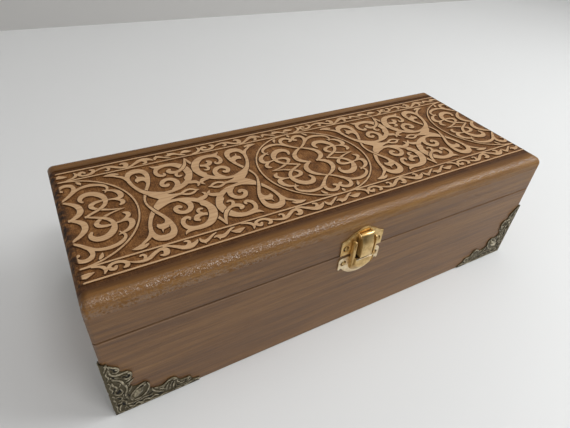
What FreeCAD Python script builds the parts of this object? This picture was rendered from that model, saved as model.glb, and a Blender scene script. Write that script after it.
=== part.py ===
import FreeCAD, Part
import math
import os

os.makedirs("parts", exist_ok=True)

# Hinged keepsake box with a carved lid, a pressed brass clasp and bronze corner protectors.
# Millimetres. X runs along the front, Y to the back, Z up.
# The origin is the centre of the case on the table, under the four corner protectors.

# The wooden case
CASE_LENGTH = 300.0
CASE_WIDTH = 119.0
CASE_HEIGHT = 88.0
LID_HEIGHT = 25.4
SEAM_GAP = 0.3
BOARD = 8.0
LAP = 4.0
CORNER_ROUND = 2.0
SEAM_EASE = 0.4

# The floor panel and the groove that holds it
FLOOR_THICK = 4.0
FLOOR_RISE = 6.0
GROOVE_DEPTH = 3.0
GROOVE_PLAY = 0.3

# The lid's top board
TOP_THICK = 8.0
TOP_ROUND = 5.0

# The carved band on the lid: a sunk ground with rails and rings left standing
CARVE_DEPTH = 0.7
GROUND_HALF = 49.8
OUTER_RAIL = 45.7
INNER_RAIL = 36.5
LINE_WIDTH = 0.9
RING_PITCH = 147.8

# Pressed bronze corner protectors
SHEET = 0.5
LEG = 46.6
UNDER_LEG = 34.0
PIERCE_LONG = 2.4
PIERCE_WIDE = 1.4
PIERCE_INSET = 3.3
PIERCE_STEPS = (8.0, 20.6, 33.0)
GEM_CENTRE = 12.9
GEM_LONG = 5.9
GEM_WIDE = 2.6
GEM_PROUD = 1.3

# Nails
NAIL_HEAD = 1.6
NAIL_CROWN = 0.9
NAIL_DOME = 0.8
NAIL_FACETS = 10
NAIL_SHANK = 1.0
NAIL_LENGTH = 6.0
NAIL_POINT = 1.6
NAIL_PLAY = 0.05

# Brass butt hinges on the back
HINGE_SPAN = 190.0
HINGE_WIDTH = 22.0
LEAF_HEIGHT = 13.0
LEAF = 0.9
BARREL = 1.7
BARREL_GAP = 0.3
PIN = 0.8
PIN_PLAY = 0.05
PIN_END = 0.4
KNUCKLES = 3
KNUCKLE_GAP = 0.1
LEAF_NAIL_SPREAD = 13.0
LEAF_NAIL_DROP = 7.5

# Brass clasp: two plates, a keeper below and a hinged tongue above
CLASP_X = -1.6
PLATE = 0.8
PLATE_HALF = 14.6
UPPER_SIDE = 10.4
UPPER_CREST = 17.4
LOWER_GAP = 2.2
LOWER_SIDE = 8.4
LOWER_DROP = 15.0
PLATE_NAIL_SPREAD = 22.4
UPPER_NAIL_RISE = 4.9
LOWER_NAIL_DROP = 4.4
PLATE_HOLE = 1.95
PRESSED = 0.7
KEEPER_HALF = 7.4
KEEPER_PROUD = 5.0
KEEPER_TOP = 1.6
HOOD_FOOT = 1.8
HOOD_SWEEP = 6.6
HOOD_TAPER = 0.79
HOOD_APEX = 11.4
HOOD_FLATS = 10
ARM_PROUD = 4.4
ARM_RISE = 10.8
ARM_HOLE = 0.6
TONGUE_HALF = 3.95
TONGUE_PROUD = 5.85
TONGUE_BEND = 8.6
CLASP_PIN_RISE = 13.4
CLASP_PIN_PROUD = 2.6
CLASP_PIN = 0.6
EAR = 0.7
EAR_PLAY = 0.15
PLATE_PLAY = 0.3
TOE_GAP = 0.9

# Levels and faces that several pieces share
END_X = CASE_LENGTH / 2
BACK_Y = CASE_WIDTH / 2
FRONT_Y = -BACK_Y
INNER_X = END_X - BOARD
INNER_Y = BACK_Y - BOARD
LAP_Y = BACK_Y - LAP
LID_BASE = CASE_HEIGHT - LID_HEIGHT
RIM = LID_BASE - SEAM_GAP
TOP_UNDER = CASE_HEIGHT - TOP_THICK
FLOOR_BASE = SHEET + FLOOR_RISE
HINGE_Y = BACK_Y + BARREL + BARREL_GAP
HINGE_Z = LID_BASE - SEAM_GAP / 2
HINGE_CENTRES = (-HINGE_SPAN / 2, HINGE_SPAN / 2)

X_DIR = FreeCAD.Vector(1, 0, 0)
Y_DIR = FreeCAD.Vector(0, 1, 0)
Z_DIR = FreeCAD.Vector(0, 0, 1)


def vec(x, y, z):
    return FreeCAD.Vector(x, y, z)


def block(x_low, x_high, y_low, y_high, z_low, z_high):
    size = (x_high - x_low, y_high - y_low, z_high - z_low)
    return Part.makeBox(*size, vec(x_low, y_low, z_low))


def rod(radius, length, start, direction):
    return Part.makeCylinder(radius, length, start, direction)


def mirrored(shape, normal):
    return shape.mirror(vec(0, 0, 0), normal)


def fused(shapes):
    return shapes[0].fuse(shapes[1:]).removeSplitter()


def flat_sided(outlines):
    # A closed solid from the corner points of its flat faces.
    faces = [Part.Face(Part.makePolygon(list(outline), True)) for outline in outlines]
    solid = Part.Solid(Part.Shell(faces))
    if solid.Volume < 0:
        solid.reverse()
    return solid


def prismatoid(sections):
    # Flat sides between polygons that have as many corners each.
    count = len(sections[0])
    outlines = [sections[0], sections[-1]]
    for low, high in zip(sections, sections[1:]):
        for step in range(count):
            after = (step + 1) % count
            outlines.append((low[step], low[after], high[after], high[step]))
    return flat_sided(outlines)


def upright_edges(shape):
    return [edge for edge in shape.Edges if edge.BoundBox.ZLength > edge.Length * 0.99]


def level_edges(shape, level):
    flat = []
    for edge in shape.Edges:
        box = edge.BoundBox
        if abs(box.ZMin - level) < 1e-4 and abs(box.ZMax - level) < 1e-4:
            flat.append(edge)
    return flat


# Wooden case

def base_envelope():
    whole = block(-END_X, END_X, FRONT_Y, BACK_Y, SHEET, RIM)
    whole = whole.makeFillet(CORNER_ROUND, upright_edges(whole))
    return whole.makeChamfer(SEAM_EASE, level_edges(whole, RIM))


def lid_envelope():
    whole = block(-END_X, END_X, FRONT_Y, BACK_Y, LID_BASE, CASE_HEIGHT)
    whole = whole.makeFillet(CORNER_ROUND, upright_edges(whole))
    whole = whole.makeChamfer(SEAM_EASE, level_edges(whole, LID_BASE))
    return whole.makeFillet(TOP_ROUND, level_edges(whole, CASE_HEIGHT))


def long_board(low, high):
    # Front board: its ends are rebated, so that a short board sits behind a tongue.
    board = block(-END_X, END_X, FRONT_Y, -INNER_Y, low, high)
    for x_low, x_high in ((-END_X, -INNER_X), (INNER_X, END_X)):
        board = board.cut(block(x_low, x_high, -LAP_Y, -INNER_Y, low, high))
    return board


def short_board(low, high):
    return block(-END_X, -INNER_X, -LAP_Y, LAP_Y, low, high)


def floor_groove():
    reach_x = INNER_X + GROOVE_DEPTH
    reach_y = INNER_Y + GROOVE_DEPTH
    return block(-reach_x, reach_x, -reach_y, reach_y, FLOOR_BASE, FLOOR_BASE + FLOOR_THICK)


def floor_panel():
    reach_x = INNER_X + GROOVE_DEPTH - GROOVE_PLAY
    reach_y = INNER_Y + GROOVE_DEPTH - GROOVE_PLAY
    return block(-reach_x, reach_x, -reach_y, reach_y, FLOOR_BASE, FLOOR_BASE + FLOOR_THICK)


def frame_boards(low, high, envelope):
    front = long_board(low, high).common(envelope)
    left = short_board(low, high).common(envelope)
    return {
        "front": front,
        "back": mirrored(front, Y_DIR),
        "left": left,
        "right": mirrored(left, X_DIR),
    }


# Carved band

def standing_lines():
    low = CASE_HEIGHT - CARVE_DEPTH
    half = LINE_WIDTH / 2
    lines = []
    for centre in (-OUTER_RAIL, -INNER_RAIL, INNER_RAIL, OUTER_RAIL):
        rail = block(-END_X, END_X, centre - half, centre + half, low, CASE_HEIGHT)
        lines.append(rail)
    for centre in (-RING_PITCH, 0.0, RING_PITCH):
        outside = rod(INNER_RAIL + half, CARVE_DEPTH, vec(centre, 0, low), Z_DIR)
        inside = rod(INNER_RAIL - half, CARVE_DEPTH, vec(centre, 0, low), Z_DIR)
        lines.append(outside.cut(inside))
    return lines


def lid_top():
    slab = block(-END_X, END_X, FRONT_Y, BACK_Y, TOP_UNDER, CASE_HEIGHT)
    slab = slab.common(lid_envelope())
    low = CASE_HEIGHT - CARVE_DEPTH
    sunk = block(-END_X, END_X, -GROUND_HALF, GROUND_HALF, low, CASE_HEIGHT)
    for line in standing_lines():
        sunk = sunk.cut(line)
    return slab.cut(sunk)


# Corner protectors

def scallops():
    # One leg of the fretted outline, from its tip to the lobe on the diagonal.
    return (
        ((LEG, 1.2), (LEG - 2.0, 3.2), (LEG - 3.8, 4.2)),
        ((LEG - 3.8, 4.2), (LEG - 6.4, 7.0), (LEG - 10.2, 7.8)),
        ((LEG - 10.2, 7.8), (LEG - 14.2, 11.4), (LEG - 19.0, 10.8)),
        ((LEG - 19.0, 10.8), (LEG - 23.0, 10.2), (LEG - 26.6, 11.4)),
        ((LEG - 26.6, 11.4), (LEG - 27.6, 14.6), (LEG - 28.2, LEG - 28.2)),
    )


def flange_wire():
    corner = vec(0, 0, 0)
    arcs = scallops()
    edges = [Part.LineSegment(corner, vec(LEG, 0, 0)).toShape()]
    edges.append(Part.LineSegment(vec(LEG, 0, 0), vec(*arcs[0][0], 0)).toShape())
    for arc in arcs:
        edges.append(Part.Arc(*[vec(a, b, 0) for a, b in arc]).toShape())
    for arc in reversed(arcs):
        edges.append(Part.Arc(*[vec(b, a, 0) for a, b in reversed(arc)]).toShape())
    first = arcs[0][0]
    edges.append(Part.LineSegment(vec(first[1], first[0], 0), vec(0, LEG, 0)).toShape())
    edges.append(Part.LineSegment(vec(0, LEG, 0), corner).toShape())
    return Part.Wire(edges)


def pierced_hole(across, along, turned):
    # A pointed slot through the sheet.
    half_long = PIERCE_LONG / 2
    half_wide = PIERCE_WIDE / 2
    side = half_long * 0.3
    corners = (
        (-half_long, 0),
        (-side, -half_wide),
        (side, -half_wide),
        (half_long, 0),
        (side, half_wide),
        (-side, half_wide),
    )
    hole = Part.makePolygon([vec(a, b, 0) for a, b in corners], True)
    if turned:
        hole.rotate(vec(0, 0, 0), Z_DIR, 90)
    hole.translate(vec(across, along, 0))
    return Part.Face(hole).extrude(vec(0, 0, SHEET))


def gem():
    # A pointed leaf on the diagonal with a ridge along it, proud of the sheet.
    side = GEM_LONG * 0.3
    ridge = GEM_LONG * 0.55
    rim = [
        vec(-GEM_LONG, 0, 0),
        vec(-side, -GEM_WIDE, 0),
        vec(side, -GEM_WIDE, 0),
        vec(GEM_LONG, 0, 0),
        vec(side, GEM_WIDE, 0),
        vec(-side, GEM_WIDE, 0),
    ]
    low = vec(-ridge, 0, GEM_PROUD)
    high = vec(ridge, 0, GEM_PROUD)
    outlines = (
        rim,
        (rim[0], rim[1], low),
        (rim[1], rim[2], high, low),
        (rim[2], rim[3], high),
        (rim[3], rim[4], high),
        (rim[4], rim[5], low, high),
        (rim[5], rim[0], low),
    )
    solid = flat_sided(outlines)
    solid.rotate(vec(0, 0, 0), Z_DIR, 45)
    solid.translate(vec(GEM_CENTRE, GEM_CENTRE, SHEET))
    return solid


def flange():
    # Laid flat: its corner at the origin, its wood side at the bottom.
    plate = Part.Face(flange_wire()).extrude(vec(0, 0, SHEET))
    for step in PIERCE_STEPS:
        plate = plate.cut(pierced_hole(step, PIERCE_INSET, False))
        plate = plate.cut(pierced_hole(PIERCE_INSET, step, True))
    return plate.fuse(gem())


def under_flange():
    corners = [vec(0, 0, 0), vec(UNDER_LEG, 0, 0), vec(0, UNDER_LEG, 0)]
    return Part.Face(Part.makePolygon(corners, True)).extrude(vec(0, 0, SHEET))


def placed(shape, origin, x_axis, y_axis):
    z_axis = x_axis.cross(y_axis)
    turn = FreeCAD.Matrix(
        x_axis.x, y_axis.x, z_axis.x, origin.x,
        x_axis.y, y_axis.y, z_axis.y, origin.y,
        x_axis.z, y_axis.z, z_axis.z, origin.z,
        0, 0, 0, 1,
    )
    moved = shape.copy()
    moved.Placement = FreeCAD.Placement(turn)
    return moved


def front_left_protector():
    x_corner = -END_X - SHEET
    y_corner = FRONT_Y - SHEET
    fretted = flange()
    front = placed(fretted, vec(x_corner, FRONT_Y, 0), X_DIR, Z_DIR)
    end = mirrored(placed(fretted, vec(END_X, y_corner, 0), Y_DIR, Z_DIR), X_DIR)
    under = placed(under_flange(), vec(x_corner, y_corner, 0), X_DIR, Y_DIR)
    return fused([front, end, under])


def protectors():
    front_left = front_left_protector()
    front_right = mirrored(front_left, X_DIR)
    return {
        "protector_front_left": front_left,
        "protector_front_right": front_right,
        "protector_back_left": mirrored(front_left, Y_DIR),
        "protector_back_right": mirrored(front_right, Y_DIR),
    }


# Nails

def regular_corners(radius, sides, level):
    # A polygon with flats facing along X and Y; the radius reaches its corners.
    corners = []
    for step in range(sides):
        turn = 2 * math.pi * (step + 0.5) / sides
        corners.append(vec(radius * math.cos(turn), radius * math.sin(turn), level))
    return corners


def nail():
    # A cut tack: a hammered head on +Z, its flat side at the origin, over a square shank.
    rim = regular_corners(NAIL_HEAD, NAIL_FACETS, 0)
    head = prismatoid([rim, regular_corners(NAIL_CROWN, NAIL_FACETS, NAIL_DOME)])
    corner = NAIL_SHANK / math.sqrt(2)
    tip = NAIL_PLAY
    levels = ((tip, -NAIL_LENGTH), (corner, NAIL_POINT - NAIL_LENGTH), (corner, 0))
    shank = prismatoid([regular_corners(radius, 4, level) for radius, level in levels])
    return fused([head, shank])


def nail_in(point, outward):
    one = nail()
    one.rotate(vec(0, 0, 0), X_DIR, 90 if outward.y < 0 else -90)
    one.translate(point)
    return one


def nail_bore(point, outward):
    half = NAIL_SHANK / 2 + NAIL_PLAY
    ends = sorted((point.y, point.y - outward.y * (NAIL_LENGTH + NAIL_PLAY)))
    return block(point.x - half, point.x + half, *ends, point.z - half, point.z + half)


def plate_nail_points(level):
    half = PLATE_NAIL_SPREAD / 2
    return [vec(CLASP_X + side * half, FRONT_Y, level) for side in (-1, 1)]


def leaf_nail_points(level):
    half = LEAF_NAIL_SPREAD / 2
    spots = []
    for centre in HINGE_CENTRES:
        for side in (-1, 1):
            spots.append(vec(centre + side * half, BACK_Y, level))
    return spots


# Hinges

def knuckle_spans(centre):
    pitch = HINGE_WIDTH / KNUCKLES
    start = centre - HINGE_WIDTH / 2
    spans = []
    for step in range(KNUCKLES):
        low = start + step * pitch + KNUCKLE_GAP / 2
        spans.append((low, low + pitch - KNUCKLE_GAP))
    return spans


def hinge_leaf(centre, up):
    # The leaf with the outer knuckles hangs on the base, the other on the lid.
    far = HINGE_Z + LEAF_HEIGHT if up else HINGE_Z - LEAF_HEIGHT
    low, high = min(far, HINGE_Z), max(far, HINGE_Z)
    half = HINGE_WIDTH / 2
    leaf = block(centre - half, centre + half, BACK_Y, BACK_Y + LEAF, low, high)
    corners = [edge for edge in leaf.Edges
               if edge.BoundBox.YLength > LEAF * 0.99 and abs(edge.CenterOfMass.z - far) < 1e-4]
    leaf = leaf.makeFillet(CORNER_ROUND, corners)
    spans = knuckle_spans(centre)
    own = spans[1::2] if up else spans[0::2]
    other = spans[0::2] if up else spans[1::2]
    clear = BARREL + BARREL_GAP
    for start, end in other:
        slot = (start - KNUCKLE_GAP, end + KNUCKLE_GAP, BACK_Y, BACK_Y + LEAF)
        leaf = leaf.cut(block(*slot, HINGE_Z - clear, HINGE_Z + clear))
    parts = [leaf]
    for start, end in own:
        parts.append(rod(BARREL, end - start, vec(start, HINGE_Y, HINGE_Z), X_DIR))
    leaf = fused(parts)
    bore_start = vec(centre - HINGE_WIDTH, HINGE_Y, HINGE_Z)
    leaf = leaf.cut(rod(PIN + PIN_PLAY, 2 * HINGE_WIDTH, bore_start, X_DIR))
    level = HINGE_Z + LEAF_NAIL_DROP if up else HINGE_Z - LEAF_NAIL_DROP
    for spot in leaf_nail_points(level):
        leaf = leaf.cut(nail_bore(spot + vec(0, LEAF, 0), Y_DIR))
    return leaf


def hinge_pin(centre):
    start = centre - HINGE_WIDTH / 2 - PIN_END
    return rod(PIN, HINGE_WIDTH + 2 * PIN_END, vec(start, HINGE_Y, HINGE_Z), X_DIR)


# Clasp outlines are drawn as (across, height), across from the clasp's centre line.

def front_point(across, proud, height):
    return vec(CLASP_X + across, FRONT_Y - proud, height)


def front_wire(corners, proud):
    # Each entry is an end point, or a pair of a point on an arc and its end point.
    here = corners[0]
    edges = []
    for step in corners[1:]:
        if isinstance(step[0], tuple):
            middle, end = step
            ends = [front_point(a, proud, h) for a, h in (here, middle, end)]
            edges.append(Part.Arc(*ends).toShape())
        else:
            end = step
            ends = [front_point(a, proud, h) for a, h in (here, end)]
            edges.append(Part.LineSegment(*ends).toShape())
        here = end
    return Part.Wire(edges)


def bored(plate, spots):
    for spot in spots:
        plate = plate.cut(rod(PLATE_HOLE, PLATE, spot, Y_DIR * -1))
    return plate


def upper_plate():
    low = LID_BASE
    side = low + UPPER_SIDE
    crest = low + UPPER_CREST
    corners = (
        (-PLATE_HALF, low),
        (PLATE_HALF, low),
        (PLATE_HALF, side),
        ((PLATE_HALF - 1.9, side + 0.6), (PLATE_HALF - 3.9, side + 1.7)),
        ((PLATE_HALF - 6.4, side + 3.7), (PLATE_HALF - 9.6, crest - 1.7)),
        ((0.0, crest), (9.6 - PLATE_HALF, crest - 1.7)),
        ((6.4 - PLATE_HALF, side + 3.7), (3.9 - PLATE_HALF, side + 1.7)),
        ((1.9 - PLATE_HALF, side + 0.6), (-PLATE_HALF, side)),
        (-PLATE_HALF, low),
    )
    plate = Part.Face(front_wire(corners, 0)).extrude(vec(0, -PLATE, 0))
    plate = bored(plate, plate_nail_points(LID_BASE + UPPER_NAIL_RISE))
    return fused([plate] + plate_ears()).cut(clasp_pin_rod(PIN_PLAY))


def plate_ears():
    # Two ears bent forward that carry the pin of the tongue.
    level = LID_BASE + CLASP_PIN_RISE
    radius = CLASP_PIN * 2.3
    inner = TONGUE_HALF + EAR_PLAY
    ears = []
    for low in (-inner - EAR, inner):
        round_end = rod(radius, EAR, front_point(low, CLASP_PIN_PROUD, level), X_DIR)
        x_low = CLASP_X + low
        y_low = FRONT_Y - CLASP_PIN_PROUD
        root = block(x_low, x_low + EAR, y_low, FRONT_Y - PLATE / 2, level - radius, level + radius)
        ears.append(round_end.fuse(root))
    return ears


def clasp_pin_rod(play):
    reach = TONGUE_HALF + EAR_PLAY + EAR
    level = LID_BASE + CLASP_PIN_RISE
    start = front_point(-reach, CLASP_PIN_PROUD, level)
    return rod(CLASP_PIN + play, 2 * reach, start, X_DIR)


def lower_plate():
    high = LID_BASE - LOWER_GAP
    side = high - LOWER_SIDE
    foot = high - LOWER_DROP
    turn = CORNER_ROUND
    corners = (
        (-PLATE_HALF, side),
        (-PLATE_HALF, high - turn),
        ((turn * 0.3 - PLATE_HALF, high - turn * 0.3), (turn - PLATE_HALF, high)),
        (PLATE_HALF - turn, high),
        ((PLATE_HALF - turn * 0.3, high - turn * 0.3), (PLATE_HALF, high - turn)),
        (PLATE_HALF, side),
        ((PLATE_HALF - 0.4, side - 0.7), (PLATE_HALF - 1.2, side - 0.9)),
        ((PLATE_HALF - 1.8, side - 0.1), (PLATE_HALF - 2.8, side - 0.4)),
        ((0.0, foot), (2.8 - PLATE_HALF, side - 0.4)),
        ((1.8 - PLATE_HALF, side - 0.1), (1.2 - PLATE_HALF, side - 0.9)),
        ((0.4 - PLATE_HALF, side - 0.7), (-PLATE_HALF, side)),
    )
    plate = Part.Face(front_wire(corners, 0)).extrude(vec(0, -PLATE, 0))
    return bored(plate, plate_nail_points(LID_BASE - LOWER_GAP - LOWER_NAIL_DROP))


def hood_section(half, foot, taper, proud):
    # Straight sides down from the mouth, then half an oval to the foot, drawn in towards the apex.
    mouth = LID_BASE - KEEPER_TOP
    apex = LID_BASE + HOOD_APEX
    waist = foot + HOOD_SWEEP
    outline = [(-half, mouth), (half, mouth)]
    for step in range(HOOD_FLATS + 1):
        turn = math.pi * step / HOOD_FLATS
        outline.append((half * math.cos(turn), waist - HOOD_SWEEP * math.sin(turn)))
    return [front_point(a * taper, proud, apex + (h - apex) * taper) for a, h in outline]


def hood(inset):
    # A pressed hood that narrows as it stands out from the plate, and is open at its mouth.
    mouth = LID_BASE - KEEPER_TOP
    half = KEEPER_HALF - inset
    foot = LID_BASE - LOWER_GAP - LOWER_DROP + HOOD_FOOT + inset
    root = hood_section(half, foot, 1.0, PLATE)
    crown = hood_section(half, foot, HOOD_TAPER, KEEPER_PROUD - inset)
    reach = 2 * KEEPER_HALF
    y_low = FRONT_Y - 2 * KEEPER_PROUD
    above = block(CLASP_X - reach, CLASP_X + reach, y_low, FRONT_Y, mouth, mouth + reach)
    return prismatoid([root, crown]).cut(above)


def keeper_arm():
    # One cheek of the keeper, seen from the side: a tall arm that flares into the hood.
    mouth = LID_BASE - KEEPER_TOP
    top = LID_BASE + ARM_RISE
    back = PLATE + PLATE_PLAY
    tip = (back + ARM_PROUD) / 2
    outline = (
        (back, mouth - 3.0),
        (KEEPER_PROUD - PRESSED, mouth - 3.0),
        (KEEPER_PROUD - PRESSED, mouth),
        (ARM_PROUD, mouth + 1.6),
        (ARM_PROUD, top - tip + back),
    )
    x_low = CLASP_X + KEEPER_HALF - PRESSED
    ends = [vec(x_low, FRONT_Y - proud, height) for proud, height in outline]
    left = vec(x_low, FRONT_Y - back, top - tip + back)
    edges = [Part.LineSegment(ends[i], ends[i + 1]).toShape() for i in range(len(ends) - 1)]
    edges.append(Part.Arc(ends[-1], vec(x_low, FRONT_Y - tip, top), left).toShape())
    edges.append(Part.LineSegment(left, ends[0]).toShape())
    arm = Part.Face(Part.Wire(edges)).extrude(vec(PRESSED, 0, 0))
    hole_at = vec(x_low, FRONT_Y - (PLATE + ARM_PROUD) / 2 - 0.6, mouth - 1.2)
    return arm.cut(rod(ARM_HOLE, PRESSED, hole_at, X_DIR))


def keeper():
    shell = hood(0.0).cut(hood(PRESSED))
    right = keeper_arm()
    left = right.mirror(vec(CLASP_X, 0, 0), X_DIR)
    return fused([shell, right, left])


def tongue_side(inset):
    # Side outline of the tongue: rolled round the pin, a sloped face, then a straight one.
    pin_level = LID_BASE + CLASP_PIN_RISE
    bend = LID_BASE + TONGUE_BEND
    toe = LID_BASE - KEEPER_TOP + TOE_GAP
    back = PLATE + PLATE_PLAY
    roll = CLASP_PIN_PROUD - back
    crown = vec(0, FRONT_Y - CLASP_PIN_PROUD, pin_level + roll - inset)
    left = vec(0, FRONT_Y - back - inset, pin_level)
    brow = vec(0, FRONT_Y - CLASP_PIN_PROUD - roll + inset, pin_level + roll * 0.4)
    front_top = vec(0, FRONT_Y - TONGUE_PROUD + inset, bend)
    front_toe = vec(0, FRONT_Y - TONGUE_PROUD + inset, toe - inset)
    back_toe = vec(0, FRONT_Y - back, toe - inset)
    back_top = vec(0, FRONT_Y - back, pin_level)
    edges = [Part.Arc(left, crown, brow).toShape()]
    edges.append(Part.LineSegment(brow, front_top).toShape())
    edges.append(Part.LineSegment(front_top, front_toe).toShape())
    edges.append(Part.LineSegment(front_toe, back_toe).toShape())
    edges.append(Part.LineSegment(back_toe, back_top).toShape())
    if inset:
        edges.append(Part.LineSegment(back_top, left).toShape())
    return Part.Face(Part.Wire(edges))


def tongue():
    outer = tongue_side(0.0)
    outer.translate(vec(CLASP_X - TONGUE_HALF, 0, 0))
    body = outer.extrude(vec(2 * TONGUE_HALF, 0, 0))
    inner = tongue_side(PRESSED)
    inner.translate(vec(CLASP_X - TONGUE_HALF + PRESSED, 0, 0))
    body = body.cut(inner.extrude(vec(2 * (TONGUE_HALF - PRESSED), 0, 0)))
    level = LID_BASE + CLASP_PIN_RISE
    roll = CLASP_PIN_PROUD - PLATE - PLATE_PLAY
    start = front_point(-TONGUE_HALF, CLASP_PIN_PROUD, level)
    body = body.fuse(rod(roll, 2 * TONGUE_HALF, start, X_DIR)).removeSplitter()
    return body.cut(clasp_pin_rod(PIN_PLAY))


# Everything, by name

def wooden_pieces():
    pieces = {}
    groove = floor_groove()
    base = frame_boards(SHEET, RIM, base_envelope())
    low_nails = LID_BASE - LOWER_GAP - LOWER_NAIL_DROP
    high_nails = LID_BASE + UPPER_NAIL_RISE
    for spot in plate_nail_points(low_nails):
        base["front"] = base["front"].cut(nail_bore(spot, Y_DIR * -1))
    for spot in leaf_nail_points(HINGE_Z - LEAF_NAIL_DROP):
        base["back"] = base["back"].cut(nail_bore(spot, Y_DIR))
    for side, board in base.items():
        pieces["base_" + side + "_board"] = board.cut(groove)
    pieces["base_floor_panel"] = floor_panel()
    lid = frame_boards(LID_BASE, TOP_UNDER, lid_envelope())
    for spot in plate_nail_points(high_nails):
        lid["front"] = lid["front"].cut(nail_bore(spot, Y_DIR * -1))
    for spot in leaf_nail_points(HINGE_Z + LEAF_NAIL_DROP):
        lid["back"] = lid["back"].cut(nail_bore(spot, Y_DIR))
    for side, board in lid.items():
        pieces["lid_" + side + "_board"] = board
    pieces["lid_top_board"] = lid_top()
    return pieces


def hinge_pieces():
    pieces = {}
    for name, centre in zip(("left", "right"), HINGE_CENTRES):
        pieces["hinge_" + name + "_base_leaf"] = hinge_leaf(centre, False)
        pieces["hinge_" + name + "_lid_leaf"] = hinge_leaf(centre, True)
        pieces["hinge_" + name + "_pin"] = hinge_pin(centre)
    for name, level in (("base", HINGE_Z - LEAF_NAIL_DROP), ("lid", HINGE_Z + LEAF_NAIL_DROP)):
        leaf_face = vec(0, LEAF, 0)
        nails = [nail_in(spot + leaf_face, Y_DIR) for spot in leaf_nail_points(level)]
        pieces["hinge_" + name + "_nails"] = Part.makeCompound(nails)
    return pieces


def clasp_pieces():
    high = plate_nail_points(LID_BASE + UPPER_NAIL_RISE)
    low = plate_nail_points(LID_BASE - LOWER_GAP - LOWER_NAIL_DROP)
    outward = Y_DIR * -1
    return {
        "clasp_upper_plate": upper_plate(),
        "clasp_lower_plate": lower_plate(),
        "clasp_keeper": keeper(),
        "clasp_tongue": tongue(),
        "clasp_pin": clasp_pin_rod(0.0),
        "clasp_upper_nails": Part.makeCompound([nail_in(spot, outward) for spot in high]),
        "clasp_lower_nails": Part.makeCompound([nail_in(spot, outward) for spot in low]),
    }


def main():
    pieces = {}
    pieces.update(wooden_pieces())
    pieces.update(protectors())
    pieces.update(hinge_pieces())
    pieces.update(clasp_pieces())
    for name, shape in pieces.items():
        shape.exportStep("parts/" + name + ".step")
        print(name, "solids", len(shape.Solids), "valid", shape.isValid(), "volume", round(shape.Volume, 2))


main()
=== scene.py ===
# %% [markdown]
# A keepsake box in stained wood, dressed around its finished construction model.
# The construction model gives every board, plate and hinge at its real size. This lesson adds
# what a joiner and an engraver would call the finish: the carved ornament on the lid, the
# relief on the corner pieces, and the look of wood, brass and bronze.
# The construction model is loaded first, and all else takes its place from it.

import math

import bpy
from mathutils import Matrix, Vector
from mathutils.geometry import delaunay_2d_cdt


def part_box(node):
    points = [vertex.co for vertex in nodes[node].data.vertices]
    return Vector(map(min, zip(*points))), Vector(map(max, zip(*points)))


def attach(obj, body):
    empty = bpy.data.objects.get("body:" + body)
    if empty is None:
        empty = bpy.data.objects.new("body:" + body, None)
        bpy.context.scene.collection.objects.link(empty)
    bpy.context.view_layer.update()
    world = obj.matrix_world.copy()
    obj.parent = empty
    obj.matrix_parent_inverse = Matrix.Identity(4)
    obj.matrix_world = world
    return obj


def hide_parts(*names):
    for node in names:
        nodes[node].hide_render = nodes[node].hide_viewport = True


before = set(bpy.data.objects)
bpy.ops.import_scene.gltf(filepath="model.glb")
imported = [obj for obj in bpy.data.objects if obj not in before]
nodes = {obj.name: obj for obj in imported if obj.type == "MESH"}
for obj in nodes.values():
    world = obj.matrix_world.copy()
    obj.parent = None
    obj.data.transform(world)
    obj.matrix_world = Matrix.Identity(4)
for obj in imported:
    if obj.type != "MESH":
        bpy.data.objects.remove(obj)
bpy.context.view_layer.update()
print("nodes loaded:", len(nodes))

# %% [markdown]
# Sizes come from the loaded boards, so the ornament lands on the lid wherever it is. Blender
# measures in metres, so a small size is written as so many times MM. A size that only one
# piece needs is written beside that piece.

# %% Sizes
MM = 0.001
lid_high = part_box("lid_top_board")[1]
LID_TOP = lid_high.z
LID_END = lid_high.x
LID_DEPTH = lid_high.y
print("lid top at", round(LID_TOP / MM, 2), "mm, half length", round(LID_END / MM, 2), "mm")

# %% [markdown]
# A material in Blender is a small network of nodes. Writing it as sums and products keeps it
# readable, so one class wraps a socket: an expression adds Math nodes, and the method node
# adds any other kind. Colours are written as they look on a screen and turned into light.

# %% Shader wiring


class Wire:
    """A socket in a material's node tree, used like a number."""

    def __init__(self, tree, socket):
        self.tree = tree
        self.socket = socket

    def node(self, kind, settings, sockets, out=0):
        made = self.tree.nodes.new(kind)
        for name, value in settings.items():
            if name == "stops":
                fill_ramp(made.color_ramp, value)
            else:
                setattr(made, name, value)
        for name, value in sockets.items():
            if isinstance(value, Wire):
                self.tree.links.new(value.socket, made.inputs[name])
            else:
                made.inputs[name].default_value = value
        return Wire(self.tree, made.outputs[out])

    def math(self, operation, first, second=0.0):
        return self.node("ShaderNodeMath", {"operation": operation}, {0: first, 1: second})

    def __add__(self, other):
        return self.math("ADD", self, other)

    __radd__ = __add__

    def __sub__(self, other):
        return self.math("SUBTRACT", self, other)

    def __rsub__(self, other):
        return self.math("SUBTRACT", other, self)

    def __mul__(self, other):
        return self.math("MULTIPLY", self, other)

    __rmul__ = __mul__

    def step(self, low, high):
        # 0 below low, 1 above high, and a smooth climb between them.
        sockets = {"Value": self, "From Min": low, "From Max": high}
        return self.node("ShaderNodeMapRange", {"interpolation_type": "SMOOTHSTEP"}, sockets)

    def mix(self, first, second):
        # The wire is the share of the second colour.
        settings = {"data_type": "RGBA"}
        return self.node("ShaderNodeMix", settings, {0: self, 6: first, 7: second}, 2)


# %% Colours and material helpers


def fill_ramp(ramp, stops):
    while len(ramp.elements) < len(stops):
        ramp.elements.new(0.5)
    for element, (position, colour) in zip(ramp.elements, stops):
        element.position = position
        element.color = colour


def tone(red, green, blue):
    # A colour as a screen shows it, from 0 to 255, as linear light.
    linear = []
    for part in (red, green, blue):
        share = part / 255
        linear.append(share / 12.92 if share <= 0.04045 else ((share + 0.055) / 1.055) ** 2.4)
    return (*linear, 1.0)


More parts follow.
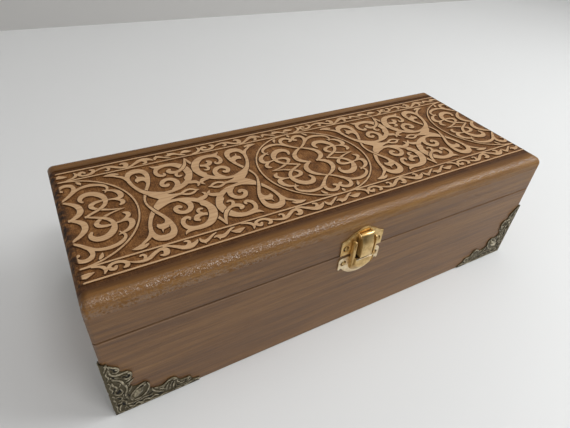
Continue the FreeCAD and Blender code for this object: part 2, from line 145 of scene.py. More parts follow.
def start_material(name):
    # A new material, its principled shader, and the object's own coordinates.
    made = bpy.data.materials.new(name)
    made.use_nodes = True
    tree = made.node_tree
    shader = tree.nodes["Principled BSDF"]
    place = Wire(tree, tree.nodes.new("ShaderNodeTexCoord").outputs["Object"])
    return made, shader, place


def plug(shader, name, value):
    if isinstance(value, Wire):
        value.tree.links.new(value.socket, shader.inputs[name])
    else:
        shader.inputs[name].default_value = value


def noise(place, scale, detail=4.0, rough=0.55, offset=0.0):
    # Scale is how many lumps fit in a metre: one number, or one for each axis.
    if isinstance(scale, float):
        scale = (scale, scale, scale)
    moved = place.node("ShaderNodeMapping", {}, {
        "Vector": place, "Scale": scale, "Location": (offset, offset, offset)})
    return place.node("ShaderNodeTexNoise", {}, {
        "Vector": moved, "Scale": 1.0, "Detail": detail, "Roughness": rough})


def ramp(place, value, *stops):
    return place.node("ShaderNodeValToRGB", {"stops": stops}, {0: value})


def axis_of(place, axis):
    return place.node("ShaderNodeSeparateXYZ", {}, {0: place}, "XYZ".index(axis))


def size_along(place, axis):
    # How far a point lies from the box's middle along one axis, on either side.
    return place.math("ABSOLUTE", axis_of(place, axis))


def bump(place, height, distance):
    return place.node("ShaderNodeBump", {}, {"Height": height, "Distance": distance})


# %% [markdown]
# The box is a pale softwood under a walnut stain and a thin varnish. The stain sinks deeper
# into the soft rings, so the wood shows long streaks that run with the board, with fine dark
# pores in them. All three sizes of streak are the same noise, stretched along the board.
# At the seam the gap between lid and base is darkened as painted shadow, and a thin line on
# the top edge of the base just below it is lightened as painted highlight. Both are clearest
# at the left, as on the real box.

# %% Stained wood
STAIN_DARK = tone(84, 52, 22)
STAIN_MID = tone(120, 82, 40)
STAIN_LIGHT = tone(149, 110, 62)
# Painted shadow for the seam's gap, and painted highlight for the thin line just below it.
SEAM_SHADOW = tone(56, 36, 21)
RIM_HIGHLIGHT = tone(176, 142, 108)
SEAM_LEVEL = 62.45 * MM
SEAM_FADE = (-40.0 * MM, 90.0 * MM)


def along(axis, long_way, across):
    return tuple(long_way if letter == axis else across for letter in "XYZ")


def streaks(place, axis, offset):
    broad = noise(place, along(axis, 3.5, 90.0), 3.0, 0.5, offset)
    narrow = noise(place, along(axis, 20.0, 700.0), 6.0, 0.72, offset)
    return broad * 0.38 + narrow * 0.62


def pores(place, axis, offset):
    fine = noise(place, along(axis, 60.0, 2200.0), 3.0, 0.6, offset)
    return fine.step(0.54, 0.68)


def stained_colour(place, axis, offset):
    grain = streaks(place, axis, offset)
    colour = ramp(place, grain, (0.32, STAIN_DARK), (0.50, STAIN_MID), (0.69, STAIN_LIGHT))
    return (pores(place, axis, offset) * 0.35).mix(colour, STAIN_DARK), grain


def stained_wood(name, axis, offset):
    made, shader, place = start_material(name)
    colour, grain = stained_colour(place, axis, offset)
    below = SEAM_LEVEL - axis_of(place, "Z")
    # Painted shadow in the seam's gap and painted highlight just below it, both fainter to the right.
    seam_shadow = 1.0 - place.math("ABSOLUTE", below).step(0.3 * MM, 0.8 * MM)
    rim_highlight = below.step(0.6 * MM, 0.9 * MM) - below.step(1.1 * MM, 1.5 * MM)
    fading = 1.0 - axis_of(place, "X").step(*SEAM_FADE) * 0.8
    colour = (rim_highlight * fading * 0.3).mix(colour, RIM_HIGHLIGHT)
    plug(shader, "Base Color", (seam_shadow * fading * 0.45).mix(colour, SEAM_SHADOW))
    plug(shader, "Roughness", 0.40 + 0.16 * grain + seam_shadow * 0.4)
    plug(shader, "Specular IOR Level", 0.7)
    ridge = grain * 0.6 - pores(place, axis, offset) * 0.5
    plug(shader, "Normal", bump(place, ridge, 0.12 * MM))
    return made


# %% [markdown]
# The lid's top board carries three looks at once: the untouched stained margin, the dark
# engraved ground, and the pale wood of what was left standing. Height tells ground from
# standing wood, and the distance from the centre line tells the margin from the band.
# The ground is darkest at the ends of the lid and outside the rails.

# %% Colours of the carving
PALE_DARK = tone(160, 124, 90)
PALE_MID = tone(183, 147, 109)
PALE_LIGHT = tone(199, 165, 127)
GROUND_DARK = tone(54, 27, 7)
GROUND_MID = tone(107, 68, 31)
GROUND_LIGHT = tone(156, 110, 64)
END_DARK = tone(44, 28, 17)
TRENCH = tone(60, 34, 14)
RAIL_REACH = 46.3 * MM
GROUND_HALF = 49.8 * MM


def pale_colour(place):
    grain = noise(place, along("X", 22.0, 900.0), 4.0, 0.6, 3.0)
    return ramp(place, grain, (0.28, PALE_DARK), (0.50, PALE_MID), (0.78, PALE_LIGHT))


def ground_colour(place):
    cloud = noise(place, 150.0, 3.0, 0.6, 7.0)
    speck = noise(place, 1100.0, 3.0, 0.7, 1.0)
    lines = noise(place, (2600.0, 70.0, 70.0), 2.0, 0.5, 5.0)
    value = cloud * 0.35 + speck * 0.42 + lines * 0.23
    return ramp(place, value, (0.36, GROUND_DARK), (0.50, GROUND_MID), (0.66, GROUND_LIGHT)), speck


# %% [markdown]
# The varnish gathered in fine beads where the lid's long edges were rounded, and they glitter
# in the window's light. Thousands of real drops would be heavy, so a second, glossier shader
# with a bead-like bump is mixed in along that edge, and mostly at the left.

# %% Carved wood
BEAD_EDGE = (LID_DEPTH - 5.8 * MM, LID_DEPTH - 4.2 * MM)
BEAD_FADE = (-70.0 * MM, 30.0 * MM)


def varnish_beads(shader, place, colour, share):
    beads = noise(place, (700.0, 900.0, 900.0), 2.0, 0.6, 4.0)
    gloss = place.tree.nodes.new("ShaderNodeBsdfPrincipled")
    plug(gloss, "Base Color", colour)
    plug(gloss, "Roughness", 0.15)
    plug(gloss, "Specular IOR Level", 0.9)
    plug(gloss, "Normal", bump(place, beads, 0.55 * MM))
    out = place.tree.nodes["Material Output"]
    sockets = {0: share * beads.step(0.40, 0.50), 1: Wire(place.tree, shader.outputs[0]),
               2: Wire(place.tree, gloss.outputs[0])}
    mixed = place.node("ShaderNodeMixShader", {}, sockets)
    place.tree.links.new(mixed.socket, out.inputs["Surface"])


def carved_wood(name):
    made, shader, place = start_material(name)
    stained, grain = stained_colour(place, "X", 2.0)
    height = axis_of(place, "Z")
    sideways = size_along(place, "Y")
    standing = height.step(LID_TOP - 0.16 * MM, LID_TOP - 0.01 * MM)
    outside = height.step(LID_TOP - 4.0 * MM, LID_TOP - 3.0 * MM)
    band = (1.0 - sideways.step(GROUND_HALF - 0.3 * MM, GROUND_HALF + 0.1 * MM)) * outside
    ground, speck = ground_colour(place)
    cloud = noise(place, 300.0, 3.0, 0.6, 9.0)
    # The ground is darker, in clouds, towards both ends of the lid.
    toward_ends = size_along(place, "X").step(LID_END - 7.0 * MM, LID_END - 2.0 * MM)
    ground = (toward_ends * cloud.step(0.35, 0.6)).mix(ground, END_DARK)
    beyond = sideways.step(RAIL_REACH, RAIL_REACH + 0.8 * MM)
    ground = (beyond * (0.55 + cloud * 0.45)).mix(ground, TRENCH)
    beside = 1.0 - sideways.step(GROUND_HALF, GROUND_HALF + 4.0 * MM)
    stained = (beside * outside * 0.6).mix(stained, TRENCH)
    carved = standing.mix(ground, pale_colour(place))
    colour = band.mix(stained, carved)
    plug(shader, "Base Color", colour)
    rounded = sideways.step(*BEAD_EDGE)
    plug(shader, "Roughness", 0.46 + band * 0.2 + rounded * 0.24)
    plug(shader, "Specular IOR Level", 0.22)
    texture = grain * 0.3 + speck * band * (1.0 - standing) * 1.6
    plug(shader, "Normal", bump(place, texture, 0.15 * MM))
    patchy = 0.9 - axis_of(place, "X").step(*BEAD_FADE) * 0.5
    varnish_beads(shader, place, colour, rounded * patchy)
    return made


def dark_foot_wood(name):
    # The ground is darker in a narrow margin along every cut edge.
    made, shader, place = start_material(name)
    speck = noise(place, 1200.0, 3.0, 0.6, 2.0)
    plug(shader, "Base Color", speck.step(0.35, 0.7).mix(tone(50, 25, 6), tone(86, 50, 19)))
    plug(shader, "Roughness", 0.7)
    plug(shader, "Specular IOR Level", 0.2)
    return made


# %% [markdown]
# The clasp is pressed sheet brass, bright and slightly brushed. Its lower plate and the keeper's
# lip get a paler copy of it, a painted highlight for the light they catch.
# The hinges are plainer brass, duller from handling. The corner pieces have an aged bronze
# finish: dark and olive in the hollows, rubbed to a dull grey gold where the relief stands
# out. Holes and slots too narrow to let light in get painted shade, a dark colour that isn't metal.

# %% Metals
SHEET = 0.5 * MM


def brass(name, bright, dull, rough, metal=1.0):
    made, shader, place = start_material(name)
    cloud = noise(place, 260.0, 4.0, 0.6)
    fleck = noise(place, 1800.0, 3.0, 0.6)
    plug(shader, "Base Color", cloud.step(0.35, 0.7).mix(bright, dull))
    plug(shader, "Metallic", metal)
    plug(shader, "Roughness", rough + 0.2 * fleck)
    plug(shader, "Normal", bump(place, cloud + fleck * 0.35, 0.18 * MM))
    return made


def aged_bronze(name):
    made, shader, place = start_material(name)
    cloud = noise(place, 420.0, 4.0, 0.65)
    fleck = noise(place, 2400.0, 2.0, 0.6)
    past_end = size_along(place, "X") - LID_END
    past_side = size_along(place, "Y") - LID_DEPTH
    proud = place.math("MAXIMUM", past_end, past_side)
    rubbed = proud.step(SHEET + 0.05 * MM, SHEET + 0.6 * MM) * cloud.step(0.3, 0.75)
    hollow = fleck.mix(tone(56, 48, 30), tone(108, 98, 74))
    plug(shader, "Base Color", rubbed.mix(hollow, tone(226, 214, 186)))
    plug(shader, "Metallic", 0.8)
    plug(shader, "Roughness", 0.32 + 0.25 * fleck)
    plug(shader, "Normal", bump(place, cloud * 0.7 + fleck * 0.3, 0.12 * MM))
    return made


# %% [markdown]
# Each node of the construction model gets its finish. The front and back boards run along X
# and the end boards along Y, so they have different grain, and each board has its own stretch
# of it, as boards cut from different places do.

# %% Finishes on the construction model
clasp_brass = brass("clasp brass", tone(230, 200, 142), tone(198, 162, 102), 0.28)
# A paler copy of the clasp brass, a painted highlight, for the lower plate and the keeper's lip.
lit_brass = brass("lit brass", tone(244, 226, 190), tone(216, 190, 150), 0.34)
# Painted shade: a dark colour that isn't metal, for the nail seats and the keeper's slot.
shade_dark = brass("painted shade", tone(44, 28, 10), tone(24, 16, 7), 0.7, 0.0)
# A darker, less metallic copy of the clasp brass: painted light and shade for sideways faces.
side_tone_brass = brass("brushed brass", tone(214, 178, 108), tone(170, 132, 70), 0.42, 0.6)
hinge_brass = brass("hinge brass", tone(196, 168, 104), tone(160, 134, 78), 0.34)
bronze = aged_bronze("aged bronze")
carved = carved_wood("carved wood")
dark_foot = dark_foot_wood("dark foot wood")


def finish_of(name):
    if name == "lid_top_board":
        return carved
    if name.startswith("protector"):
        return bronze
    if name.startswith("clasp"):
        return clasp_brass
    if name.startswith("hinge"):
        return hinge_brass
    axis = "Y" if "left" in name or "right" in name else "X"
    return stained_wood("stained " + name, axis, float(sorted(nodes).index(name)))


for name in sorted(nodes):
    node = nodes[name]
    node.data.materials.clear()
    node.data.materials.append(finish_of(name))
print("materials on the construction model:", len(bpy.data.materials))

# %% [markdown]
# Blender's own operators act on what is selected, as they do by hand. Small helpers take up
# what each piece needs: to be added with nothing else selected, to be edited all over, to get
# a Bevel on its sharp edges, and to have its modifiers applied.

# %% Hand tools


def only(thing):
    bpy.ops.object.select_all(action="DESELECT")
    thing.select_set(True)
    bpy.context.view_layer.objects.active = thing


def edit(thing, *steps):
    # Runs edit-mode operators on everything in one object.
    only(thing)
    bpy.ops.object.mode_set(mode="EDIT")
    for operator, settings in steps:
        bpy.ops.mesh.select_all(action="SELECT")
        operator(**settings)
    bpy.ops.object.mode_set(mode="OBJECT")


def finish_modifiers(thing):
    only(thing)
    for modifier in list(thing.modifiers):
        bpy.ops.object.modifier_apply(modifier=modifier.name)


def bevelled(thing, width, segments, sharp):
    edge = thing.modifiers.new("edge", "BEVEL")
    edge.width = width
    edge.segments = segments
    edge.limit_method = "ANGLE"
    edge.angle_limit = sharp
    finish_modifiers(thing)


def added(primitive, **settings):
    # A new primitive, made with everything else deselected.
    bpy.ops.object.select_all(action="DESELECT")
    primitive(**settings)
    return bpy.context.object


def linked(name, data):
    # A new object around ready-made data.
    made = bpy.data.objects.new(name, data)
    bpy.context.scene.collection.objects.link(made)
    return made


# %% [markdown]
# Stamped metal has no knife edges. Every plate of the clasp and the hinges is copied, its
# triangles are merged to plain faces, and a narrow Bevel is put on its edges, so that they
# catch the light. The finished piece takes the place of the plain one. The cheeks of the
# keeper and the sides of the tongue get a darker, less metallic copy of the brass: painted
# light and shade for these sideways faces, so they show a lit gold brown, duller than their fronts.

# %% Dressed metal
MERGE = 0.002 * MM
FLAT = math.radians(1.0)
SHARP = math.radians(32)
SMOOTH = math.radians(28)
SIDEWAYS = 0.8


def dressed(name, width, material, body):
    piece = linked(name + "_finished", nodes[name].data.copy())
    edit(piece, (bpy.ops.mesh.customdata_custom_splitnormals_clear, {}),
         (bpy.ops.mesh.remove_doubles, {"threshold": MERGE}),
         (bpy.ops.mesh.dissolve_limited, {"angle_limit": FLAT}))
    bevelled(piece, width, 2, SHARP)
    bpy.ops.object.shade_smooth_by_angle(angle=SMOOTH)
    piece.data.materials.clear()
    piece.data.materials.append(material)
    # Sideways faces of the tongue and the keeper get the darker copy, painted light and shade.
    if name in ("clasp_tongue", "clasp_keeper"):
        piece.data.materials.append(side_tone_brass)
        for face in piece.data.polygons:
            face.material_index = int(abs(face.normal.x) > SIDEWAYS)
    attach(piece, body)
    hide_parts(name)
    print(piece.name, "faces", len(piece.data.polygons))


dressed("clasp_upper_plate", 0.2 * MM, clasp_brass, "lid")
# The lower plate gets the paler copy, a painted highlight.
dressed("clasp_lower_plate", 0.2 * MM, lit_brass, "base")
dressed("clasp_keeper", 0.28 * MM, clasp_brass, "base")
dressed("clasp_tongue", 0.28 * MM, clasp_brass, "clasp_tongue")

# %% [markdown]
# A rounded rail runs down the outside of each cheek of the keeper, as the sheet was folded
# there. Half a sphere is stretched to it, and its tips are drawn blunt by a power below one.

# %% Rails of the keeper
BEAD_LIFT = 1.5 * MM
BEAD_BULGE = 0.75 * MM
BEAD_PROUD = 2.7 * MM
BEAD_DEEP = 1.8 * MM
BEAD_REACH = 9.6 * MM
BEAD_BLUNT = 0.6
BEAD_SMOOTH = math.radians(40)
HALF = {"plane_co": (0, 0, 0), "use_fill": True, "clear_inner": True}


def keeper_bead(name, side):
    low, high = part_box("clasp_keeper")
    bead = added(bpy.ops.mesh.primitive_uv_sphere_add, segments=24, ring_count=20, radius=1.0)
    bead.name = name
    edit(bead, (bpy.ops.mesh.bisect, {**HALF, "plane_no": (side, 0, 0)}))
    wall = high.x if side > 0 else low.x
    middle = (high.z + low.z) / 2 + BEAD_LIFT
    for vertex in bead.data.vertices:
        a, b, c = vertex.co
        blunt = math.copysign(abs(c) ** BEAD_BLUNT, c)
        vertex.co = (wall + a * BEAD_BULGE, -LID_DEPTH - BEAD_PROUD + b * BEAD_DEEP,
                     middle + blunt * BEAD_REACH)
    bpy.ops.object.shade_smooth_by_angle(angle=BEAD_SMOOTH)
    bead.data.materials.append(clasp_brass)
    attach(bead, "base")


keeper_bead("keeper_bead_left", -1)
keeper_bead("keeper_bead_right", 1)

# %% [markdown]
# The mouth of the keeper is turned over into a small lip, in the paler brass as a painted
# highlight, and behind it the shadow in the slot into which the tongue snaps is painted as a
# dark line. The lip is a short bar with rounded ends, and the painted shadow a dark strip just
# proud of the sheet.

# %% Lip and mouth of the keeper
LIP_RADIUS = 0.5 * MM
LIP_INSET = 3.4 * MM
LIP_LEVEL = 59.75 * MM
LIP_PROUD = 0.35 * MM
LIP_ROUNDING = 0.4 * MM
LIP_SHARP = math.radians(60)
MOUTH_LEVEL = 60.6 * MM
MOUTH_HEIGHT = 0.8 * MM
MOUTH_LIFT = 0.02 * MM
UPRIGHT = math.radians(90)


def keeper_lip():
    low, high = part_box("clasp_keeper")
    middle = ((low.x + high.x) / 2, low.y + LIP_RADIUS - LIP_PROUD, LIP_LEVEL)
    lip = added(bpy.ops.mesh.primitive_cylinder_add, vertices=16, radius=LIP_RADIUS,
                depth=high.x - low.x - LIP_INSET, location=middle, rotation=(0, UPRIGHT, 0))
    bpy.ops.object.transform_apply()
    lip.name = "keeper_lip"
    bevelled(lip, LIP_ROUNDING, 4, LIP_SHARP)
    bpy.ops.object.shade_smooth()
    # The lip gets the paler copy, a painted highlight.
    lip.data.materials.append(lit_brass)
    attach(lip, "base")


# A dark strip of painted shadow in the keeper's slot.
def keeper_mouth_shadow():
    low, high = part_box("clasp_keeper")
    middle = ((low.x + high.x) / 2, low.y - MOUTH_LIFT, MOUTH_LEVEL)
    mouth = added(bpy.ops.mesh.primitive_plane_add, size=1.0, location=middle, rotation=(UPRIGHT, 0, 0))
    mouth.scale = (high.x - low.x - LIP_INSET, MOUTH_HEIGHT, 1.0)
    bpy.ops.object.transform_apply()
    mouth.name = "keeper_mouth_shadow"
    mouth.data.materials.append(shade_dark)
    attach(mouth, "base")


keeper_lip()
keeper_mouth_shadow()
print("keeper: two rails, a lip and a mouth")

# %% [markdown]
# The leaves of the hinges are thinner sheet than the clasp, so their edges get a finer bevel.

# %% Hinge leaves
for side_name in ("left", "right"):
    for body in ("lid", "base"):
        leaf = "hinge_" + side_name + "_" + body + "_leaf"
        dressed(leaf, 0.15 * MM, hinge_brass, body)

# %% [markdown]
# The nails of the clasp are small domed tacks. Their holes are a size too wide, and the heads
# sit a little low and to the right in them, so a crescent of the seat shows at the upper left.
# The seat is a dark disc behind each head, painted shadow in the hole. A UV sphere is cut in
# half and pressed flat for each head.

# %% Nail heads and seats
NAIL_HEIGHT = 0.95 * MM
SEAT_RADIUS = 1.93 * MM
SEAT_LIFT = 0.06 * MM


def joined(name, meshes, material, body):
    # One piece out of several meshes that were made in place.
    bpy.ops.object.select_all(action="DESELECT")
    for made in meshes:
        made.select_set(True)
    bpy.context.view_layer.objects.active = meshes[0]
    if len(meshes) > 1:
        bpy.ops.object.join()
    piece = meshes[0]
    piece.name = name
    edit(piece, (bpy.ops.mesh.normals_make_consistent, {"inside": False}))
    bpy.ops.object.shade_smooth()
    piece.data.materials.clear()
    piece.data.materials.append(material)
    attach(piece, body)
    return piece


def dome(spot, outward, radius):
    made = added(bpy.ops.mesh.primitive_uv_sphere_add, segments=20, ring_count=10, radius=1.0)
    edit(made, (bpy.ops.mesh.bisect, {**HALF, "plane_no": (0, 0, 1)}))
    for vertex in made.data.vertices:
        a, b, c = vertex.co
        vertex.co = spot + Vector((a * radius, outward * c * NAIL_HEIGHT, b * radius))
    return made


def seat(spot):
    made = added(bpy.ops.mesh.primitive_circle_add, vertices=24, radius=SEAT_RADIUS, fill_type="NGON",
                 location=spot - Vector((0, SEAT_LIFT, 0)), rotation=(UPRIGHT, 0, 0))
    bpy.ops.object.transform_apply()
    return made


# %% Nails
NAIL_RADIUS = 1.55 * MM
NAIL_PLAIN = 1.6 * MM
CLASP_HEAD = 1.38 * MM
CLASP_SLIP = Vector((0.46, 0.0, -0.4)) * MM
LEAF_NAILS = 13.0 * MM
LEAF_FACE = 0.9 * MM


def nail_row(name):
    # The first and the last nail's place along a node, and their level.
    low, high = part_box(name)
    return low.x + NAIL_PLAIN, high.x - NAIL_PLAIN, (low.z + high.z) / 2


for name, body in (("clasp_upper_nails", "lid"), ("clasp_lower_nails", "base")):
    first, last, level = nail_row(name)
    spots = [Vector((x, -LID_DEPTH, level)) for x in (first, last)]
    domes = [dome(spot + CLASP_SLIP, -1, CLASP_HEAD) for spot in spots]
    heads = joined(name + "_finished", domes, clasp_brass, body)
    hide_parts(name)
    # Dark discs of painted shadow behind the nail heads.
    joined(name + "_seats", [seat(spot) for spot in spots], shade_dark, body)

leaf_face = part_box("hinge_left_lid_leaf")[0].y + LEAF_FACE
for name, body in (("hinge_lid_nails", "lid"), ("hinge_base_nails", "base")):
    first, last, level = nail_row(name)
    across = (first, first + LEAF_NAILS, last - LEAF_NAILS, last)
    domes = [dome(Vector((x, leaf_face, level)), 1, NAIL_RADIUS) for x in across]
    heads = joined(name + "_finished", domes, hinge_brass, body)
    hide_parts(name)
print("nail heads: 12")

# %% [markdown]
# The ornament is an interlace of leafy scrolls, engraved around so that it stands flush with
# the lid. A scroll is a brush stroke: a smooth line through a few points with a width at each.
# Strokes overlap and pass over and under each other, so they can't each be a solid. Their
# outlines are laid in one plane, a constrained triangulation cuts them all against each other,
# and a piece of the plane is kept where some stroke covers it and no stroke that passes over
# clears it. Drawing it by hand in edit mode couldn't give the interlace, so this one form is
# made in code, and its thickness comes from a modifier.

# %% Strokes
SPAN_STEPS = 6
CAP_SIDES = 12
RING_SIDES = 96
CAP_FROM = 0.7
THINNEST = 0.05


def through(points):
    # A smooth line through the points; x, y and width are all carried along it.
    line = []
    count = len(points)
    for start in range(count - 1):
        before = points[max(start - 1, 0)]
        here, there = points[start], points[start + 1]
        after = points[min(start + 2, count - 1)]
        for step in range(SPAN_STEPS):
            t = step / SPAN_STEPS
            row = []
            for p0, p1, p2, p3 in zip(before, here, there, after):
                bend = (2 * p0 - 5 * p1 + 4 * p2 - p3) * t * t
                twist = (3 * p1 - p0 - 3 * p2 + p3) * t * t * t
                row.append(0.5 * (2 * p1 + (p2 - p0) * t + bend + twist))
            line.append(row)
    line.append(list(points[-1]))
    return line


def disc(x, y, radius, sides=CAP_SIDES):
    turns = [2 * math.pi * step / sides for step in range(sides)]
    return [(x + radius * math.cos(turn), y + radius * math.sin(turn)) for turn in turns]


def stroke_outlines(points, extra=0.0, capped=True):
    # The patches of one stroke; extra widens it on both sides, and broad ends are round.
    line = through(points)
    edges = []
    for step, (x, y, width) in enumerate(line):
        back = line[max(step - 1, 0)]
        ahead = line[min(step + 1, len(line) - 1)]
        run = Vector((ahead[0] - back[0], ahead[1] - back[1])).normalized()
        side = Vector((-run.y, run.x)) * (max(width, THINNEST) / 2 + extra)
        edges.append(((x + side.x, y + side.y), (x - side.x, y - side.y)))
    patches = []
    for (left, right), (next_left, next_right) in zip(edges, edges[1:]):
        patches.append([left, right, next_right])
        patches.append([left, next_right, next_left])
    for x, y, width in (line[0], line[-1]):
        if capped and width > CAP_FROM:
            patches.append(disc(x, y, width / 2 + extra))
    return patches


def reflected(patches, across, up):
    return [[(x * across, y * up) for x, y in patch] for patch in patches]


def turning(patch):
    # Twice the area, positive when the corners run counter-clockwise.
    area = 0.0
    for (x0, y0), (x1, y1) in zip(patch, patch[1:] + patch[:1]):
        area += x0 * y1 - x1 * y0
    return area


# %% [markdown]
# A motif is one sheet of strokes. Each patch carries a mark: the name of its stroke, or for a
# gap the names of the strokes that it clears where a band passes over them. The same motif,
# drawn a little wider and with no gaps, gives the dark margin at the foot of the carving.

# %% Motif
SLIVER = 0.0005
WELD = 1e-4
RAIL_END = 150.0


class Motif:
    """Inked strokes and blades in one plane, some passing over others.

    With a spread every stroke is that much wider on both sides, and nothing is cleared.
    """

    def __init__(self, spread):
        self.spread = spread
        self.patches = []
        self.marks = []

    def stroke(self, points, name, across=1, up=1):
        self.add(reflected(stroke_outlines(points, self.spread), across, up), name)

    def blade(self, outline, name, across=1, up=1):
        patches = [list(outline)]
        if self.spread:
            closed = [(x, y, 0.0) for x, y in (*outline, outline[0])]
            for start, end in zip(closed, closed[1:]):
                patches += stroke_outlines((start, end), self.spread)
        self.add(reflected(patches, across, up), name)

    def ring(self, radius, width):
        inner, outer = (disc(0.0, 0.0, radius + side * (width / 2 + self.spread), RING_SIDES)
                        for side in (-1, 1))
        following = zip(inner, outer, inner[1:] + inner[:1], outer[1:] + outer[:1])
        for near, far, next_near, next_far in following:
            self.add([[near, far, next_far], [near, next_far, next_near]], "ring")

    def rail(self, level, width):
        low, high = (level + side * (width / 2 + self.spread) for side in (-1, 1))
        self.add([[(-RAIL_END, low), (RAIL_END, low), (RAIL_END, high), (-RAIL_END, high)]], "rail")

    def clear(self, points, gap, names, across=1, up=1):
        if not self.spread:
            patches = stroke_outlines(points, gap, capped=False)
            self.add(reflected(patches, across, up), "gap", names)

    def add(self, patches, name, clears=()):
        # The triangulation wants counter-clockwise faces, and none without an area.
        for patch in patches:
            area = turning(patch)
            if abs(area) > SLIVER:
                self.patches.append(patch if area > 0 else patch[::-1])
                self.marks.append((name, clears))

    def covered(self, owners):
        inked = {self.marks[owner][0] for owner in owners if not self.marks[owner][1]}
        for owner in owners:
            inked -= set(self.marks[owner][1])
        return bool(inked)

    def sheet(self):
        # Corner points in millimetres and the triangles that carry ink.
        corners, faces = [], []
        for patch in self.patches:
            faces.append(list(range(len(corners), len(corners) + len(patch))))
            corners += [Vector(point) for point in patch]
        points, _, triangles, _, _, owners = delaunay_2d_cdt(corners, [], faces, 1, WELD)
        kept = [list(t) for t, own in zip(triangles, owners) if self.covered(own)]
        return points, kept


# %% [markdown]
# The round medallion. Only its upper right quarter is drawn; the other three are reflections.
# Points are (across, up, width) in millimetres from the ring's centre.

# %% Medallion strokes
MEDALLION = {
    "crescent": ((0.2, 17.2, 0.9), (2.6, 15.9, 1.5), (5.4, 13.8, 2.2), (7.7, 11.2, 2.8),
                 (8.8, 8.2, 3.1), (8.6, 5.2, 3.1), (7.0, 2.7, 2.7), (4.6, 0.9, 2.0), (2.6, -0.4, 1.2)),
    "outer lobe": ((0.2, 17.2, 0.9), (2.5, 18.8, 1.4), (5.0, 21.1, 1.8), (7.6, 24.0, 2.2),
                   (10.4, 26.2, 1.9), (13.6, 27.3, 2.1), (17.2, 27.5, 2.3), (21.0, 26.5, 2.1),
                   (24.0, 24.5, 1.8), (25.3, 22.2, 1.5), (25.0, 20.2, 1.3), (23.9, 18.6, 0.9),
                   (23.4, 17.4, 0.4)),
    "big comma": ((10.9, 13.4, 1.5), (10.1, 15.1, 2.0), (10.5, 17.2, 2.7), (12.4, 19.1, 3.3),
                  (15.3, 19.5, 3.6), (18.4, 18.2, 3.6), (20.7, 15.7, 3.5), (22.0, 12.9, 2.9),
                  (22.2, 10.3, 2.4), (21.5, 7.9, 2.2), (20.0, 5.7, 2.0), (17.7, 3.9, 1.7),
                  (14.8, 2.3, 1.5), (12.3, 1.0, 1.3), (10.4, -0.3, 1.1)),
    "inner comma": ((23.4, 10.5, 1.1), (20.4, 10.9, 1.5), (17.2, 10.6, 2.0), (15.0, 9.5, 2.5),
                    (14.3, 7.7, 2.5), (15.1, 6.0, 2.1), (16.6, 4.7, 1.6), (18.4, 3.5, 1.5),
                    (20.2, 2.6, 1.5), (22.5, 1.6, 1.1), (25.2, 0.8, 0.9), (28.0, 0.2, 0.6),
                    (29.9, 0.0, 0.2)),
    "right lobe": ((22.5, 20.1, 0.5), (24.6, 19.2, 1.2), (27.6, 17.9, 1.9), (29.9, 15.4, 2.7),
                   (30.7, 12.6, 3.1), (29.9, 10.5, 2.6), (27.6, 10.0, 1.4), (25.0, 10.3, 1.1),
                   (22.6, 10.6, 1.1)),
    "small lobe": ((25.4, 10.2, 0.8), (27.6, 9.2, 1.4), (29.2, 8.0, 1.9), (30.3, 6.4, 2.4),
                   (30.0, 4.8, 2.3), (28.6, 3.7, 1.2)),
    "heart": ((7.2, 23.6, 1.8), (8.5, 26.2, 2.3), (8.7, 28.8, 2.2), (7.5, 31.0, 2.5),
              (5.0, 32.0, 2.4), (2.6, 31.3, 2.3), (1.1, 29.6, 2.2), (1.2, 28.1, 2.0),
              (2.5, 27.3, 1.7)),
    "side drop": ((11.0, 33.2, 1.0), (12.2, 31.6, 1.9), (12.9, 29.6, 0.3)),
    "top drop": ((0.0, 35.5, 0.6), (0.0, 34.1, 2.0), (0.0, 32.4, 0.6)),
}
COMMA_CROSSING = ((16.2, 2.9, 1.6), (17.7, 3.9, 1.7), (19.2, 4.9, 1.9))
COMMA_GAP = 0.33
RING_MIDDLE = 36.5
LINE_WIDTH = 0.95


def medallion(spread):
    made = Motif(spread)
    for across in (1, -1):
        for up in (1, -1):
            tag = (across, up)
            for name, points in MEDALLION.items():
                made.stroke(points, (name, tag), across, up)
            made.clear(COMMA_CROSSING, COMMA_GAP, (("inner comma", tag),), across, up)
    made.ring(RING_MIDDLE, LINE_WIDTH)
    return made


# %% [markdown]
# The crossed cartouche between two rings. A band leaves the wedge at its waist, loops round
# the corner and comes back across itself; the broad stem and the thin strand cross near the
# top. Towards the back the wedge's band lies over the loop's, towards the front under it, and
# the stem and the strand change places from quarter to quarter.

